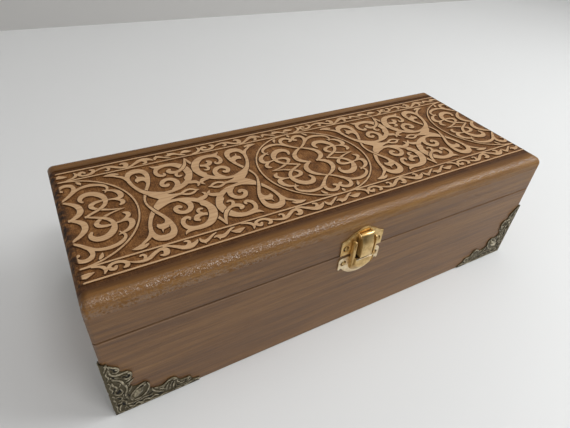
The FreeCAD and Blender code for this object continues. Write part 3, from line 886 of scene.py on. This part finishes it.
# %% Cartouche strokes
STRAND = {
    "wedge band": ((21.5, 4.1, 2.6), (25.0, 4.9, 3.8), (27.6, 6.1, 4.0), (29.5, 7.6, 3.4),
                   (31.2, 9.5, 2.8), (32.7, 11.6, 2.4), (34.1, 14.4, 2.1), (35.4, 18.0, 1.9),
                   (36.2, 21.5, 2.1), (36.5, 25.0, 2.3), (35.9, 28.2, 3.0), (34.1, 30.7, 3.8),
                   (31.1, 31.7, 4.3)),
    "loop band": ((31.1, 31.7, 4.3), (28.1, 30.8, 4.0), (26.2, 28.3, 3.3), (25.6, 25.0, 2.7),
                  (26.0, 21.2, 2.5), (26.8, 17.5, 2.1), (28.1, 14.2, 1.9), (29.6, 11.2, 1.9),
                  (30.8, 8.4, 1.7), (31.9, 5.4, 1.4), (32.7, 2.6, 1.2), (33.0, -0.3, 1.1)),
}
CARTOUCHE = {
    "leaf scroll": ((5.4, 13.2, 3.2), (3.4, 15.6, 3.7), (2.5, 18.6, 4.3), (2.8, 21.8, 4.6),
                    (4.0, 25.2, 4.6), (6.2, 28.3, 4.2), (9.2, 30.4, 3.5), (13.0, 31.1, 3.0),
                    (16.6, 30.5, 3.1), (19.2, 28.6, 2.6), (20.2, 26.0, 2.3), (20.0, 23.5, 2.4),
                    (18.8, 21.6, 2.3), (17.1, 21.0, 2.1), (16.0, 21.8, 1.8), (16.2, 23.1, 1.1)),
    "leaf tip": ((15.8, 31.2, 1.8), (18.4, 31.1, 2.4), (20.4, 31.9, 1.6), (21.8, 33.5, 0.2)),
    "thin strand": ((0.1, 34.8, 0.2), (0.6, 32.0, 1.2), (1.2, 29.6, 1.7), (2.3, 27.0, 2.0),
                    (4.0, 24.6, 2.2), (6.1, 22.8, 2.0), (8.2, 21.9, 2.2), (10.3, 21.8, 2.6),
                    (12.2, 22.8, 2.9), (12.9, 24.5, 2.8), (11.9, 25.6, 1.7)),
    "hook": ((8.7, 20.9, 1.3), (9.8, 19.6, 1.8), (9.9, 17.9, 1.8), (8.7, 16.9, 1.7), (7.3, 17.3, 1.1)),
    "stem": ((2.8, 21.8, 4.4), (2.6, 18.4, 4.2), (3.2, 15.2, 3.6), (4.6, 12.2, 3.4),
             (6.8, 9.5, 3.3), (9.6, 7.4, 3.1), (13.0, 5.6, 2.8), (17.0, 4.4, 2.2), (21.5, 4.1, 2.4)),
    "spiral": ((15.2, 5.2, 3.0), (12.9, 7.6, 3.4), (11.9, 10.4, 3.1), (12.1, 13.2, 2.9),
               (13.8, 15.6, 2.8), (16.4, 16.5, 2.7), (18.9, 15.4, 2.7), (20.2, 13.2, 2.6),
               (19.8, 11.2, 2.5), (18.3, 10.5, 2.4), (17.3, 11.2, 2.2)),
    "foot hook": ((7.2, 9.2, 2.4), (4.8, 8.6, 2.9), (2.4, 7.9, 2.7), (1.0, 6.3, 2.0),
                  (1.2, 4.7, 1.5), (2.3, 3.3, 0.4)),
    "eye": ((2.7, 0.0, 0.3), (4.6, 0.4, 1.0), (6.4, 1.6, 1.6), (8.6, 2.2, 1.5),
            (10.7, 1.6, 1.6), (12.6, 0.4, 1.5)),
    "stem leaf": ((36.7, 24.2, 2.0), (37.8, 27.0, 2.1), (39.5, 29.0, 1.7), (41.6, 30.6, 1.5),
                  (43.2, 32.2, 1.6)),
}
WEDGE = ((11.8, -0.1), (12.6, 0.9), (15.2, 0.9), (17.8, 1.6), (20.4, 2.9), (22.5, 4.5), (25.2, 5.2),
         (28.4, 6.6), (30.1, 5.2), (28.9, 3.5), (27.1, 1.6), (25.6, -0.1))
LOOP_LEAF = ((26.8, 22.2), (27.4, 24.0), (28.8, 24.7), (30.6, 25.3), (31.5, 27.4), (31.5, 25.5),
             (31.4, 24.5), (32.7, 23.4), (33.2, 21.7), (32.4, 19.8), (31.7, 20.5), (30.3, 20.9),
             (28.9, 20.5), (28.1, 19.3), (27.8, 17.3), (26.6, 17.6))
CORNER_LEAF = ((48.5, 33.4), (46.6, 34.4), (44.1, 34.8), (41.7, 34.3), (40.3, 33.2), (39.7, 32.2),
               (40.9, 31.9), (41.9, 32.6), (42.7, 31.8), (43.7, 31.3), (45.2, 32.2), (46.8, 32.7))
BLADES = {"wedge": WEDGE, "loop leaf": LOOP_LEAF, "corner leaf": CORNER_LEAF}
BAND_GAP = 0.55
LOOP_CROSSING = slice(1, 7)
LOOP_BACK_CROSSING = slice(5, 11)
STEM_CROSSING = slice(2, 7)
STRAND_CROSSING = slice(1, 7)


def cartouche(spread):
    made = Motif(spread)
    for across in (1, -1):
        for up in (1, -1):
            tag = (across, up)
            for name, points in {**STRAND, **CARTOUCHE}.items():
                made.stroke(points, (name, tag), across, up)
            for name, outline in BLADES.items():
                made.blade(outline, (name, tag), across, up)
            if up > 0:
                over, under = STRAND["wedge band"][LOOP_CROSSING], ("loop band",)
            else:
                over, under = STRAND["loop band"][LOOP_BACK_CROSSING], ("wedge band", "wedge")
            made.clear(over, BAND_GAP, [(name, tag) for name in under], across, up)
            if across * up > 0:
                over, under = CARTOUCHE["leaf scroll"][STEM_CROSSING], ("thin strand",)
            else:
                over, under = CARTOUCHE["thin strand"][STRAND_CROSSING], ("leaf scroll", "stem")
            made.clear(over, BAND_GAP, [(name, tag) for name in under], across, up)
    return made


# %% [markdown]
# The border between the two rails is a running scroll that repeats twice for each ring.
# It is drawn for the front rail, with across measured from the start of one repeat.

# %% Border strokes
RING_PITCH = 147.8
BORDER_PITCH = RING_PITCH / 2
BORDER = {
    "bracket": ((6.6, -37.3, 0.7), (9.5, -38.1, 1.3), (11.5, -39.7, 1.7), (12.0, -41.5, 1.6),
                (11.0, -43.7, 0.3)),
    "scroll": ((16.7, -41.2, 1.4), (15.6, -42.4, 1.8), (14.1, -41.7, 1.9), (13.7, -40.1, 1.7),
               (15.1, -38.8, 1.5), (17.6, -38.5, 1.5), (20.1, -39.3, 1.7), (21.6, -41.0, 2.0),
               (21.2, -42.6, 2.0), (19.8, -43.2, 0.9)),
    "wave": ((22.4, -40.6, 0.4), (25.0, -42.0, 1.1), (28.5, -42.8, 1.7), (31.6, -42.1, 2.0),
             (34.3, -40.2, 1.9), (36.8, -38.8, 1.7), (39.0, -38.9, 2.2), (40.0, -40.4, 2.9),
             (39.7, -42.1, 2.8), (38.3, -43.0, 1.9), (36.9, -42.5, 0.8)),
    "wave hook": ((29.3, -41.9, 1.2), (30.1, -40.5, 1.5), (29.7, -39.2, 1.3), (28.6, -38.8, 1.1),
                  (27.6, -39.4, 0.6)),
    "long leaf": ((39.4, -37.4, 0.8), (41.6, -37.9, 1.2), (43.5, -39.0, 1.5), (45.9, -40.6, 2.0),
                  (48.3, -42.1, 2.6), (50.9, -42.5, 3.0), (53.4, -41.7, 2.4), (55.2, -40.5, 1.4),
                  (56.2, -39.2, 0.3)),
    "leaf hook": ((50.4, -41.7, 2.2), (51.5, -40.2, 1.8), (51.5, -38.9, 1.6), (50.4, -38.1, 1.2),
                  (49.3, -38.2, 0.5)),
    "tick": ((57.1, -39.1, 0.5), (57.5, -40.9, 1.7), (58.7, -42.1, 2.0), (60.4, -41.7, 1.7),
             (62.4, -40.4, 1.3), (64.6, -39.0, 1.0), (66.4, -38.2, 0.3)),
    "tick point": ((58.5, -41.8, 1.4), (58.9, -43.9, 0.2)),
    "small leaf": ((63.7, -41.5, 0.3), (65.4, -41.0, 1.5), (67.0, -41.9, 2.7), (68.7, -42.1, 2.3),
                   (70.6, -41.2, 1.7), (72.4, -39.9, 1.3), (74.3, -38.7, 1.1), (76.2, -38.2, 0.4)),
    "leaf point": ((67.1, -42.2, 1.5), (65.9, -43.9, 0.2)),
}
BORDER_DROP = ((-0.8, -40.1), (1.8, -40.5), (4.8, -40.2), (7.3, -40.8), (5.6, -42.1), (3.2, -43.4),
               (1.2, -42.7), (0.1, -41.4))
BORDER_REPEATS = 4
BORDER_WIDER = 0.05
RAILS = (36.5, 45.7)


def border(side, spread):
    # side is 1 for the front rail and -1 for the back one.
    made = Motif(spread)
    for level in RAILS:
        made.rail(-side * level, LINE_WIDTH)
    for repeat in range(BORDER_REPEATS):
        shift = repeat * BORDER_PITCH - RING_PITCH
        for name, points in BORDER.items():
            moved = [(x + shift, y * side, width + BORDER_WIDER) for x, y, width in points]
            made.stroke(moved, name)
        made.blade([(x + shift, y * side) for x, y in BORDER_DROP], "drop")
    return made


def front_border(spread):
    return border(1, spread)


def back_border(spread):
    return border(-1, spread)


# %% [markdown]
# From plane to wood: the kept triangles become a mesh at the lid's level, the tool that cuts a
# mesh with a plane trims it at the ends of the lid, and there it follows the rounded edge down.
# Flat triangles are merged, and a Solidify modifier gives the depth of the carving.

# %% Laying the ornament on the lid
TOP_ROUND = 5.0 * MM
CARVE_DEPTH = 0.7 * MM
CARVE_MARGIN = 0.12 * MM
LEVEL = math.radians(0.5)
ROUND_START = LID_END - TOP_ROUND
CARVE_END = ROUND_START + math.sqrt(TOP_ROUND ** 2 - (TOP_ROUND - CARVE_DEPTH) ** 2) - CARVE_MARGIN


def score(thing, x, **trimming):
    # Cuts a mesh across at x; the trimming says which side is taken away, if any.
    edit(thing, (bpy.ops.mesh.bisect, {"plane_co": (x, 0, 0), "plane_no": (1, 0, 0), **trimming}))


def edge_drop(x):
    # How far the rounded end of the lid lies below its top.
    past = max(abs(x) - ROUND_START, 0.0)
    return TOP_ROUND - math.sqrt(TOP_ROUND ** 2 - past ** 2)


def flat_piece(name, motif, centre_x, level):
    # The motif's kept triangles at one level, trimmed where the carving runs off the ends.
    points, triangles = motif.sheet()
    mesh = bpy.data.meshes.new(name)
    corners = [(centre_x + p.x * MM, p.y * MM, level) for p in points]
    mesh.from_pydata(corners, [], triangles)
    piece = linked(name, mesh)
    for side in (-1, 1):
        if max(side * vertex.co.x for vertex in mesh.vertices) > ROUND_START:
            score(piece, side * CARVE_END, clear_outer=side > 0, clear_inner=side < 0)
    return piece


def tidied(piece):
    edit(piece, (bpy.ops.mesh.delete_loose, {}),
         (bpy.ops.mesh.dissolve_limited, {"angle_limit": LEVEL}))


def finish_carving(piece, material):
    piece.data.materials.append(material)
    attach(piece, "lid")
    print(piece.name, "faces", len(piece.data.polygons))


# %% [markdown]
# Each motif gives two pieces: the standing wood, and under it a dark sheet, which shows
# as a dark margin at the foot of every stroke. Neighbouring motifs touch, so each kind has its
# own small lift and no two faces coincide. On the rounded ends the standing wood is first
# scored across, so that it can bend.

# %% Carving
INK_PROUD = 0.02 * MM
INK_FOOT = 0.06 * MM
ROUND_CUTS = 4
FOOT_SPREAD = 0.4
FOOT_LIFT = 0.03 * MM
LIFT = 0.01 * MM


def carve(name, make, centre_x, lift):
    piece = flat_piece(name, make(0.0), centre_x, LID_TOP + INK_PROUD + lift)
    reach = max(abs(vertex.co.x) for vertex in piece.data.vertices)
    if reach > ROUND_START:
        for step in range(ROUND_CUTS):
            x = ROUND_START + (CARVE_END - ROUND_START) * step / ROUND_CUTS
            score(piece, math.copysign(x, centre_x))
            if centre_x == 0.0:
                score(piece, -x)
    for vertex in piece.data.vertices:
        vertex.co.z -= edge_drop(vertex.co.x)
    tidied(piece)
    depth = piece.modifiers.new("depth", "SOLIDIFY")
    depth.thickness = CARVE_DEPTH + INK_PROUD + INK_FOOT
    depth.offset = -1.0
    depth.use_even_offset = False
    finish_modifiers(piece)
    edit(piece, (bpy.ops.mesh.normals_make_consistent, {"inside": False}))
    finish_carving(piece, carved)
    foot = LID_TOP - CARVE_DEPTH + FOOT_LIFT + lift
    # A wider dark sheet at the foot of the strokes.
    foot_sheet = flat_piece("scorch_" + name, make(FOOT_SPREAD), centre_x, foot)
    tidied(foot_sheet)
    finish_carving(foot_sheet, dark_foot)


for place_name, centre in (("left", -RING_PITCH), ("middle", 0.0), ("right", RING_PITCH)):
    carve("medallion_" + place_name, medallion, centre * MM, 0.0)
for place_name, centre in (("left", -RING_PITCH / 2), ("right", RING_PITCH / 2)):
    carve("cartouche_" + place_name, cartouche, centre * MM, LIFT)
carve("border_front", front_border, 0.0, 2 * LIFT)
carve("border_back", back_border, 0.0, 2 * LIFT)

# %% [markdown]
# The corner pieces are stamped sheet: small scrolls stand out like cords on a dark hollow
# ground. One flange is drawn once, in millimetres along the table and up from the corner.
# Each scroll is a curve with a round bevel and a radius at every point. The curves become
# a mesh, which is pressed flat and laid on the eight upright flanges. Points are (along the
# table, up, width).

# %% Scrolls of a corner piece
RELIEF = (
    ((1.7, 45.0, 1.4), (2.5, 46.0, 1.3)), ((10.7, 33.6, 1.5), (11.6, 32.7, 1.3)),
    ((16.5, 17.9, 1.7), (17.7, 18.4, 1.4)), ((31.5, 11.9, 1.6), (32.5, 11.2, 1.4)),
    ((39.3, 7.4, 1.5), (40.2, 6.8, 1.4)), ((45.0, 2.4, 1.3), (46.2, 2.1, 1.2)),
    ((9.5, 20.2, 1.3), (10.0, 19.4, 1.2)), ((5.6, 39.9, 1.1), (6.6, 39.2, 1.2)),
    ((0.6, 41.0, 0.9), (1.6, 43.4, 1.0), (2.7, 46.6, 0.6)),
    ((1.8, 45.4, 0.8), (3.2, 43.2, 0.9), (2.0, 40.6, 1.0), (1.0, 38.2, 1.0), (1.8, 35.4, 1.0),
     (0.8, 33.0, 0.8)),
    ((0.7, 31.2, 0.9), (1.6, 28.8, 1.0), (0.8, 26.4, 1.0), (1.7, 23.8, 1.0), (0.8, 21.6, 0.9)),
    ((0.6, 18.8, 0.9), (1.4, 16.8, 1.0), (0.7, 14.6, 1.0), (1.6, 12.2, 1.0), (0.7, 9.8, 1.0),
     (1.3, 7.2, 1.0), (0.8, 4.6, 1.0), (1.6, 1.8, 1.0), (4.0, 0.9, 1.0)),
    ((5.2, 1.0, 0.9), (8.0, 1.5, 1.0), (10.8, 0.9, 1.0), (13.6, 1.5, 1.0), (16.6, 0.9, 1.0),
     (19.6, 1.5, 1.0), (22.6, 0.9, 1.0), (25.6, 1.8, 1.0), (28.6, 1.0, 1.0), (31.0, 1.8, 0.9)),
    ((4.3, 33.6, 0.8), (5.6, 32.7, 0.9), (7.0, 31.6, 0.9), (7.7, 33.0, 0.8)),
    ((5.0, 24.6, 0.8), (6.0, 26.6, 0.9), (5.0, 28.6, 0.8)),
    ((9.3, 22.6, 0.7), (10.2, 24.0, 0.8), (9.6, 25.6, 0.6)),
    ((5.9, 12.6, 0.8), (5.6, 14.8, 0.9), (6.0, 17.0, 0.7)),
    ((24.9, 5.9, 0.7), (26.0, 8.6, 0.8), (27.6, 9.6, 0.7)),
    ((33.0, 5.4, 0.7), (32.6, 3.6, 0.8), (35.4, 3.0, 0.9), (38.4, 3.2, 0.9), (40.2, 3.6, 0.7)),
    ((3.1, 44.4, 0.9), (4.9, 42.0, 1.1), (6.7, 40.5, 1.1), (7.2, 38.8, 1.1), (6.3, 37.5, 1.1),
     (4.9, 37.5, 0.9), (4.0, 38.6, 0.7)),
    ((2.8, 41.3, 0.9), (2.9, 38.0, 1.1), (4.4, 35.6, 1.2), (6.5, 34.9, 1.2), (8.3, 34.8, 1.1),
     (10.3, 34.7, 1.2), (11.9, 33.0, 1.3), (12.0, 30.8, 1.3), (10.8, 29.1, 1.2), (9.1, 29.2, 1.0),
     (8.2, 30.6, 0.8)),
    ((8.2, 33.0, 0.7), (9.5, 32.4, 0.9), (10.1, 31.0, 0.7)),
    ((8.6, 26.8, 0.9), (10.6, 27.6, 1.1), (12.3, 28.9, 0.4)),
    ((8.9, 24.6, 1.0), (11.0, 25.7, 1.1), (12.9, 27.3, 0.4)),
    ((2.6, 35.2, 0.9), (3.2, 32.6, 1.2), (5.3, 30.8, 1.4), (6.8, 28.4, 1.5), (7.5, 25.5, 1.5),
     (8.4, 22.4, 1.4), (8.0, 19.2, 1.3), (6.9, 16.6, 1.2), (7.0, 13.6, 1.2), (7.6, 11.2, 1.0)),
    ((2.4, 30.4, 0.9), (2.6, 27.6, 1.2), (3.8, 25.2, 1.2), (3.2, 22.7, 1.1), (2.4, 20.6, 1.0),
     (2.9, 18.4, 1.0), (4.5, 17.6, 1.0), (5.9, 18.9, 1.0), (5.8, 21.0, 1.0), (5.2, 23.2, 0.8)),
    ((1.9, 16.3, 0.9), (3.7, 15.9, 1.0), (4.9, 14.5, 1.0), (4.3, 12.9, 0.9), (2.8, 12.6, 0.8)),
    ((2.0, 10.6, 0.9), (3.6, 9.9, 1.0), (4.6, 11.9, 0.9), (6.2, 9.5, 1.0), (6.0, 7.4, 1.0),
     (7.6, 6.2, 1.0), (9.4, 6.4, 0.9)),
    ((2.1, 3.0, 0.9), (2.4, 5.6, 1.1), (3.4, 8.0, 1.0)),
    ((4.2, 3.0, 0.9), (5.4, 5.0, 1.1), (6.2, 2.6, 0.9)),
    ((6.6, 4.4, 0.9), (9.2, 2.6, 1.0), (11.4, 4.2, 1.0), (13.5, 2.7, 1.0), (15.5, 4.3, 1.0),
     (18.2, 2.9, 1.0), (20.6, 4.2, 1.0), (22.6, 2.6, 0.8)),
    ((8.8, 4.9, 0.7), (10.8, 6.0, 0.9), (13.0, 5.8, 0.9), (15.2, 6.5, 1.0), (17.6, 6.0, 0.9),
     (19.6, 6.4, 0.9)),
    ((9.4, 8.2, 0.9), (8.8, 10.6, 1.1), (9.8, 13.8, 1.2), (12.1, 16.8, 1.2), (15.0, 19.0, 1.2),
     (17.7, 19.8, 0.9)),
    ((10.3, 7.7, 0.9), (13.4, 7.8, 1.1), (16.4, 9.8, 1.2), (18.3, 12.8, 1.2), (19.0, 16.2, 1.2),
     (18.3, 19.0, 1.0)),
    ((9.0, 17.8, 1.0), (10.0, 19.4, 1.1), (10.9, 21.4, 0.5)),
    ((20.1, 12.0, 0.5), (20.3, 9.8, 1.1), (21.6, 7.6, 1.1), (23.4, 5.8, 1.0), (25.4, 4.4, 0.9)),
    ((21.2, 10.9, 0.8), (23.2, 9.7, 1.1), (25.6, 9.6, 1.1), (27.5, 10.9, 1.1), (29.1, 12.3, 1.1),
     (31.2, 12.7, 1.2), (33.0, 11.9, 1.2), (33.8, 10.0, 1.1), (33.7, 7.9, 1.0), (34.9, 7.0, 0.9)),
    ((23.6, 7.9, 0.8), (25.4, 7.3, 1.0), (26.8, 5.6, 0.9)),
    ((27.2, 4.0, 0.8), (27.6, 7.0, 1.1), (29.2, 10.4, 1.0)),
    ((29.0, 3.6, 0.8), (29.5, 6.8, 1.1), (31.1, 10.6, 1.0)),
    ((31.0, 3.4, 0.8), (31.4, 6.4, 1.1), (32.3, 9.4, 1.0)),
    ((35.2, 8.0, 0.7), (36.6, 7.4, 1.1), (38.5, 7.3, 1.1), (40.4, 7.4, 1.1), (41.1, 5.9, 1.1),
     (40.1, 4.7, 1.0), (38.5, 5.3, 0.7)),
    ((34.6, 5.6, 0.8), (36.2, 5.0, 0.9), (37.6, 5.7, 0.7)),
    ((31.8, 1.5, 0.9), (34.8, 1.4, 1.1), (38.0, 1.5, 1.2), (41.0, 2.6, 1.2), (43.6, 2.7, 1.2),
     (46.5, 2.1, 0.6)),
)

# %% [markdown]
# Between the scrolls the sheet is pierced or pressed so deep that it looks black, and some
# scrolls cast small shadows beside them. This shade is painted: flat dark patches just proud of
# the sheet, drawn as strokes and cut into one mesh by the same triangulation as the carving.

# %% Hollows of a corner piece
HOLLOWS = (
    ((5.2, 40.4, 1.0), (5.5, 39.2, 1.5), (5.2, 37.8, 1.0)), ((4.2, 41.4, 0.7), (4.6, 40.3, 0.7)),
    ((3.0, 34.6, 0.8), (4.2, 33.2, 1.3), (6.0, 32.3, 1.3)),
    ((11.5, 32.4, 1.0), (11.0, 31.0, 1.7), (9.3, 29.6, 1.4)), ((11.9, 29.1, 0.8), (10.6, 28.0, 0.9)),
    ((3.9, 25.6, 0.8), (2.7, 23.7, 0.8)), ((5.4, 21.8, 1.2), (4.6, 20.4, 1.9), (3.5, 19.2, 1.4)),
    ((8.7, 20.8, 0.8), (7.8, 18.7, 0.9)), ((1.2, 22.6, 0.8), (1.9, 20.9, 0.9)),
    ((2.9, 14.9, 0.8), (4.1, 13.3, 0.9)), ((4.4, 12.3, 0.9), (6.5, 10.3, 1.1)),
    ((4.5, 8.8, 1.1), (4.9, 6.9, 1.4)), ((2.5, 9.4, 0.6), (1.7, 7.3, 0.7)),
    ((7.8, 3.2, 1.1), (9.9, 4.1, 1.2)), ((11.6, 5.5, 1.0), (13.0, 4.0, 1.3), (14.4, 3.1, 1.0)),
    ((16.0, 5.4, 1.1), (17.2, 4.4, 1.5), (18.6, 4.4, 1.1)),
    ((21.3, 3.2, 1.1), (23.6, 3.5, 1.6), (25.0, 3.4, 1.0)),
    ((18.0, 7.0, 0.8), (19.9, 8.1, 0.8)), ((11.0, 12.2, 1.0), (12.6, 14.9, 1.5), (15.8, 17.4, 1.1)),
    ((33.1, 4.6, 0.9), (35.0, 2.9, 1.2), (38.0, 2.8, 1.2), (40.6, 3.9, 0.8)),
    ((38.7, 7.4, 0.6), (38.3, 5.6, 0.8)), ((6.1, 17.2, 0.8), (6.9, 14.4, 0.9)),
    ((8.0, 15.2, 0.7), (8.7, 12.4, 0.7)), ((1.6, 16.3, 0.6), (3.5, 17.1, 0.6)),
    ((18.4, 13.6, 0.8), (17.5, 9.4, 0.9)), ((12.1, 8.0, 0.8), (14.0, 7.5, 0.9), (16.0, 9.0, 0.7)),
    ((2.4, 44.9, 0.5), (1.6, 42.2, 0.7)), ((1.2, 30.0, 0.7), (1.5, 28.0, 0.8)),
    ((9.3, 31.6, 0.8), (7.6, 31.6, 0.7)), ((27.9, 7.6, 0.5), (29.2, 9.4, 0.5)),
    ((30.2, 6.4, 0.5), (31.0, 9.0, 0.5)), ((42.6, 1.3, 0.7), (45.0, 1.2, 0.6)),
)
# Painted shade for the hollows of the corner pieces: dark and not metal.
hollow_shade = brass("hollow shade", tone(26, 21, 12), tone(14, 11, 6), 0.75, 0.0)

# %% Corner relief
CORD_SIDES = 1
CORD_PRESS = 0.95
HOLLOW_LIFT = 0.04 * MM


def flange_relief(name):
    # All scrolls of one flange as a mesh in millimetres, lying in the XY plane.
    curve = bpy.data.curves.new(name, "CURVE")
    curve.dimensions = "3D"
    curve.bevel_depth = 1.0
    curve.bevel_resolution = CORD_SIDES
    curve.use_fill_caps = True
    for points in RELIEF:
        line = through(points)
        spline = curve.splines.new("POLY")
        spline.points.add(len(line) - 1)
        for point, (a, b, width) in zip(spline.points, line):
            point.co = (a, b, 0.0, 1.0)
            point.radius = width / 2
    only(linked(name, curve))
    bpy.ops.object.convert(target="MESH")
    return bpy.context.object


def flange_hollow_shade(name):
    # The painted shade in the hollows between the scrolls, flat in the XY plane.
    motif = Motif(0.0)
    for points in HOLLOWS:
        motif.stroke(points, "hollow")
    points, triangles = motif.sheet()
    mesh = bpy.data.meshes.new(name)
    mesh.from_pydata([(point.x, point.y, 0.0) for point in points], [], triangles)
    made = linked(name, mesh)
    edit(made, (bpy.ops.mesh.delete_loose, {}))
    return made


def wrapped(name, make, lift, press, end, side, material):
    # A flat pattern laid on the two upright flanges of one corner piece.
    flanges = []
    for along_end in (False, True):
        made = make(name if not along_end else name + "_end")
        for vertex in made.data.vertices:
            a, b, out = vertex.co * MM
            out = SHEET + lift + out * press
            if along_end:
                vertex.co = (end * (LID_END + out), side * (LID_DEPTH - a), b)
            else:
                vertex.co = (end * (LID_END - a), side * (LID_DEPTH + out), b)
        flanges.append(made)
    piece = joined(name, flanges, material, "base")
    print(name, "faces", len(piece.data.polygons))


for end, end_name in ((-1, "left"), (1, "right")):
    for side, side_name in ((-1, "front"), (1, "back")):
        place_name = side_name + "_" + end_name
        wrapped("relief_" + place_name, flange_relief, 0.0, CORD_PRESS, end, side, bronze)
        wrapped("hollows_" + place_name, flange_hollow_shade, HOLLOW_LIFT, 0.0, end, side, hollow_shade)

# %% [markdown]
# The setting is a plain pale table and a plain wall, far enough behind the box for the open
# lid. Both are single planes with a faint cloud in their colour.

# %% Stage
STAGE_SIZE = 4.0
WALL_PLACE = (0, 0.62, 0)
WALL_TURN = math.radians(-3)


def plain_surface(name, colour, rough):
    made, shader, place = start_material(name)
    cloud = noise(place, 3.0, 3.0, 0.5)
    shade = tuple(part * 0.97 for part in colour[:3]) + (1.0,)
    plug(shader, "Base Color", cloud.mix(colour, shade))
    plug(shader, "Roughness", rough)
    return made


def stage_plane(name, material, size=STAGE_SIZE, location=(0, 0, 0), rotation=(0, 0, 0)):
    plane = added(bpy.ops.mesh.primitive_plane_add, size=size, location=location, rotation=rotation)
    plane.name = name
    plane.data.materials.append(material)
    return plane


stage_plane("table", plain_surface("table white", tone(225, 225, 224), 0.55))
wall_white = plain_surface("wall white", tone(196, 194, 191), 0.8)
stage_plane("wall", wall_white, location=WALL_PLACE, rotation=(UPRIGHT, 0, WALL_TURN))

# %% [markdown]
# A dark card stands in front of the clasp, as a photographer places one for polished metal.
# It shows only in reflections, where it gives the bent faces of the brass different tones.

# %% Card
CARD_PLACE = Vector((0.15, -0.2, 0.046))
CARD_WIDTH = 0.4
CARD_HEIGHT = 0.09
card = stage_plane("card", plain_surface("card dark", tone(70, 60, 48), 0.9), 1.0)
for vertex in card.data.vertices:
    across, up, _ = vertex.co
    vertex.co = CARD_PLACE + Vector((across * CARD_WIDTH, 0, up * CARD_HEIGHT))
card.visible_camera = False
card.visible_diffuse = False
card.visible_shadow = False
card.visible_transmission = False

# %% [markdown]
# The camera stands where the photographer stood: close, above the left end, looking down
# along the box. Its place was solved from the box's straight edges.

# %% Camera
CAMERA_PLACE = Vector((-139.2, -196.4, 237.35)) * MM
CAMERA_TURN = (50.838, -3.624, -28.708)
CAMERA_LENS = 27.73
CAMERA_NEAR = 0.01
camera = linked("camera", bpy.data.cameras.new("camera"))
camera.location = CAMERA_PLACE
camera.rotation_euler = [math.radians(turn) for turn in CAMERA_TURN]
camera.data.lens = CAMERA_LENS
camera.data.sensor_width = 36.0
camera.data.clip_start = CAMERA_NEAR
bpy.context.scene.camera = camera
print("camera at", [round(part / MM) for part in camera.location], "mm")

# %% [markdown]
# Daylight comes through a window at the front right. A second, small window is where the
# rounded front edge mirrors it to the camera, so it lights the beads of varnish. The room
# gives soft light from above.

# %% Lamps


def soft_light(name, place, target, width, height, power, colour=(1.0, 1.0, 1.0)):
    lamp = bpy.data.lights.new(name, "AREA")
    lamp.color = colour
    lamp.shape = "RECTANGLE"
    lamp.size = width
    lamp.size_y = height
    lamp.energy = power
    made = linked(name, lamp)
    made.location = place
    made.rotation_euler = (Vector(target) - Vector(place)).to_track_quat("-Z", "Y").to_euler()


soft_light("window", place=(0.85, -0.30, 0.75), target=(0, 0, 0.05),
           width=0.55, height=0.55, power=7.8, colour=(0.96, 0.985, 1.0))
soft_light("second window", place=(0.12, -0.555, 1.04), target=(-0.09, -0.06, 0.09),
           width=0.3, height=0.18, power=2.3)
soft_light("room", place=(0.1, 0.3, 1.3), target=(0, 0, 0), width=1.2, height=1.2, power=2.3)

# %% [markdown]
# The rest of the room is the world: a grey that climbs gently from the floor up and towards
# the sides, so the metal has something to mirror. It looks the same from every camera.

# %% World
SKY_STOPS = ((0.15, (0.08, 0.08, 0.08, 1.0)), (0.5, (0.27, 0.27, 0.27, 1.0)), (0.9, (0.62, 0.62, 0.62, 1.0)))
world = bpy.data.worlds.new("room")
world.use_nodes = True
sky = world.node_tree
ray = Wire(sky, sky.nodes.new("ShaderNodeTexCoord").outputs["Generated"])
climb = 0.45 + size_along(ray, "X") * 0.2 + axis_of(ray, "Y") * 0.12 + axis_of(ray, "Z") * 0.3
walls = ramp(ray, climb, *SKY_STOPS)
sky.links.new(walls.socket, sky.nodes["Background"].inputs["Color"])
sky.nodes["Background"].inputs["Strength"].default_value = 1.0
bpy.context.scene.world = world
bpy.context.scene.view_settings.view_transform = "Standard"
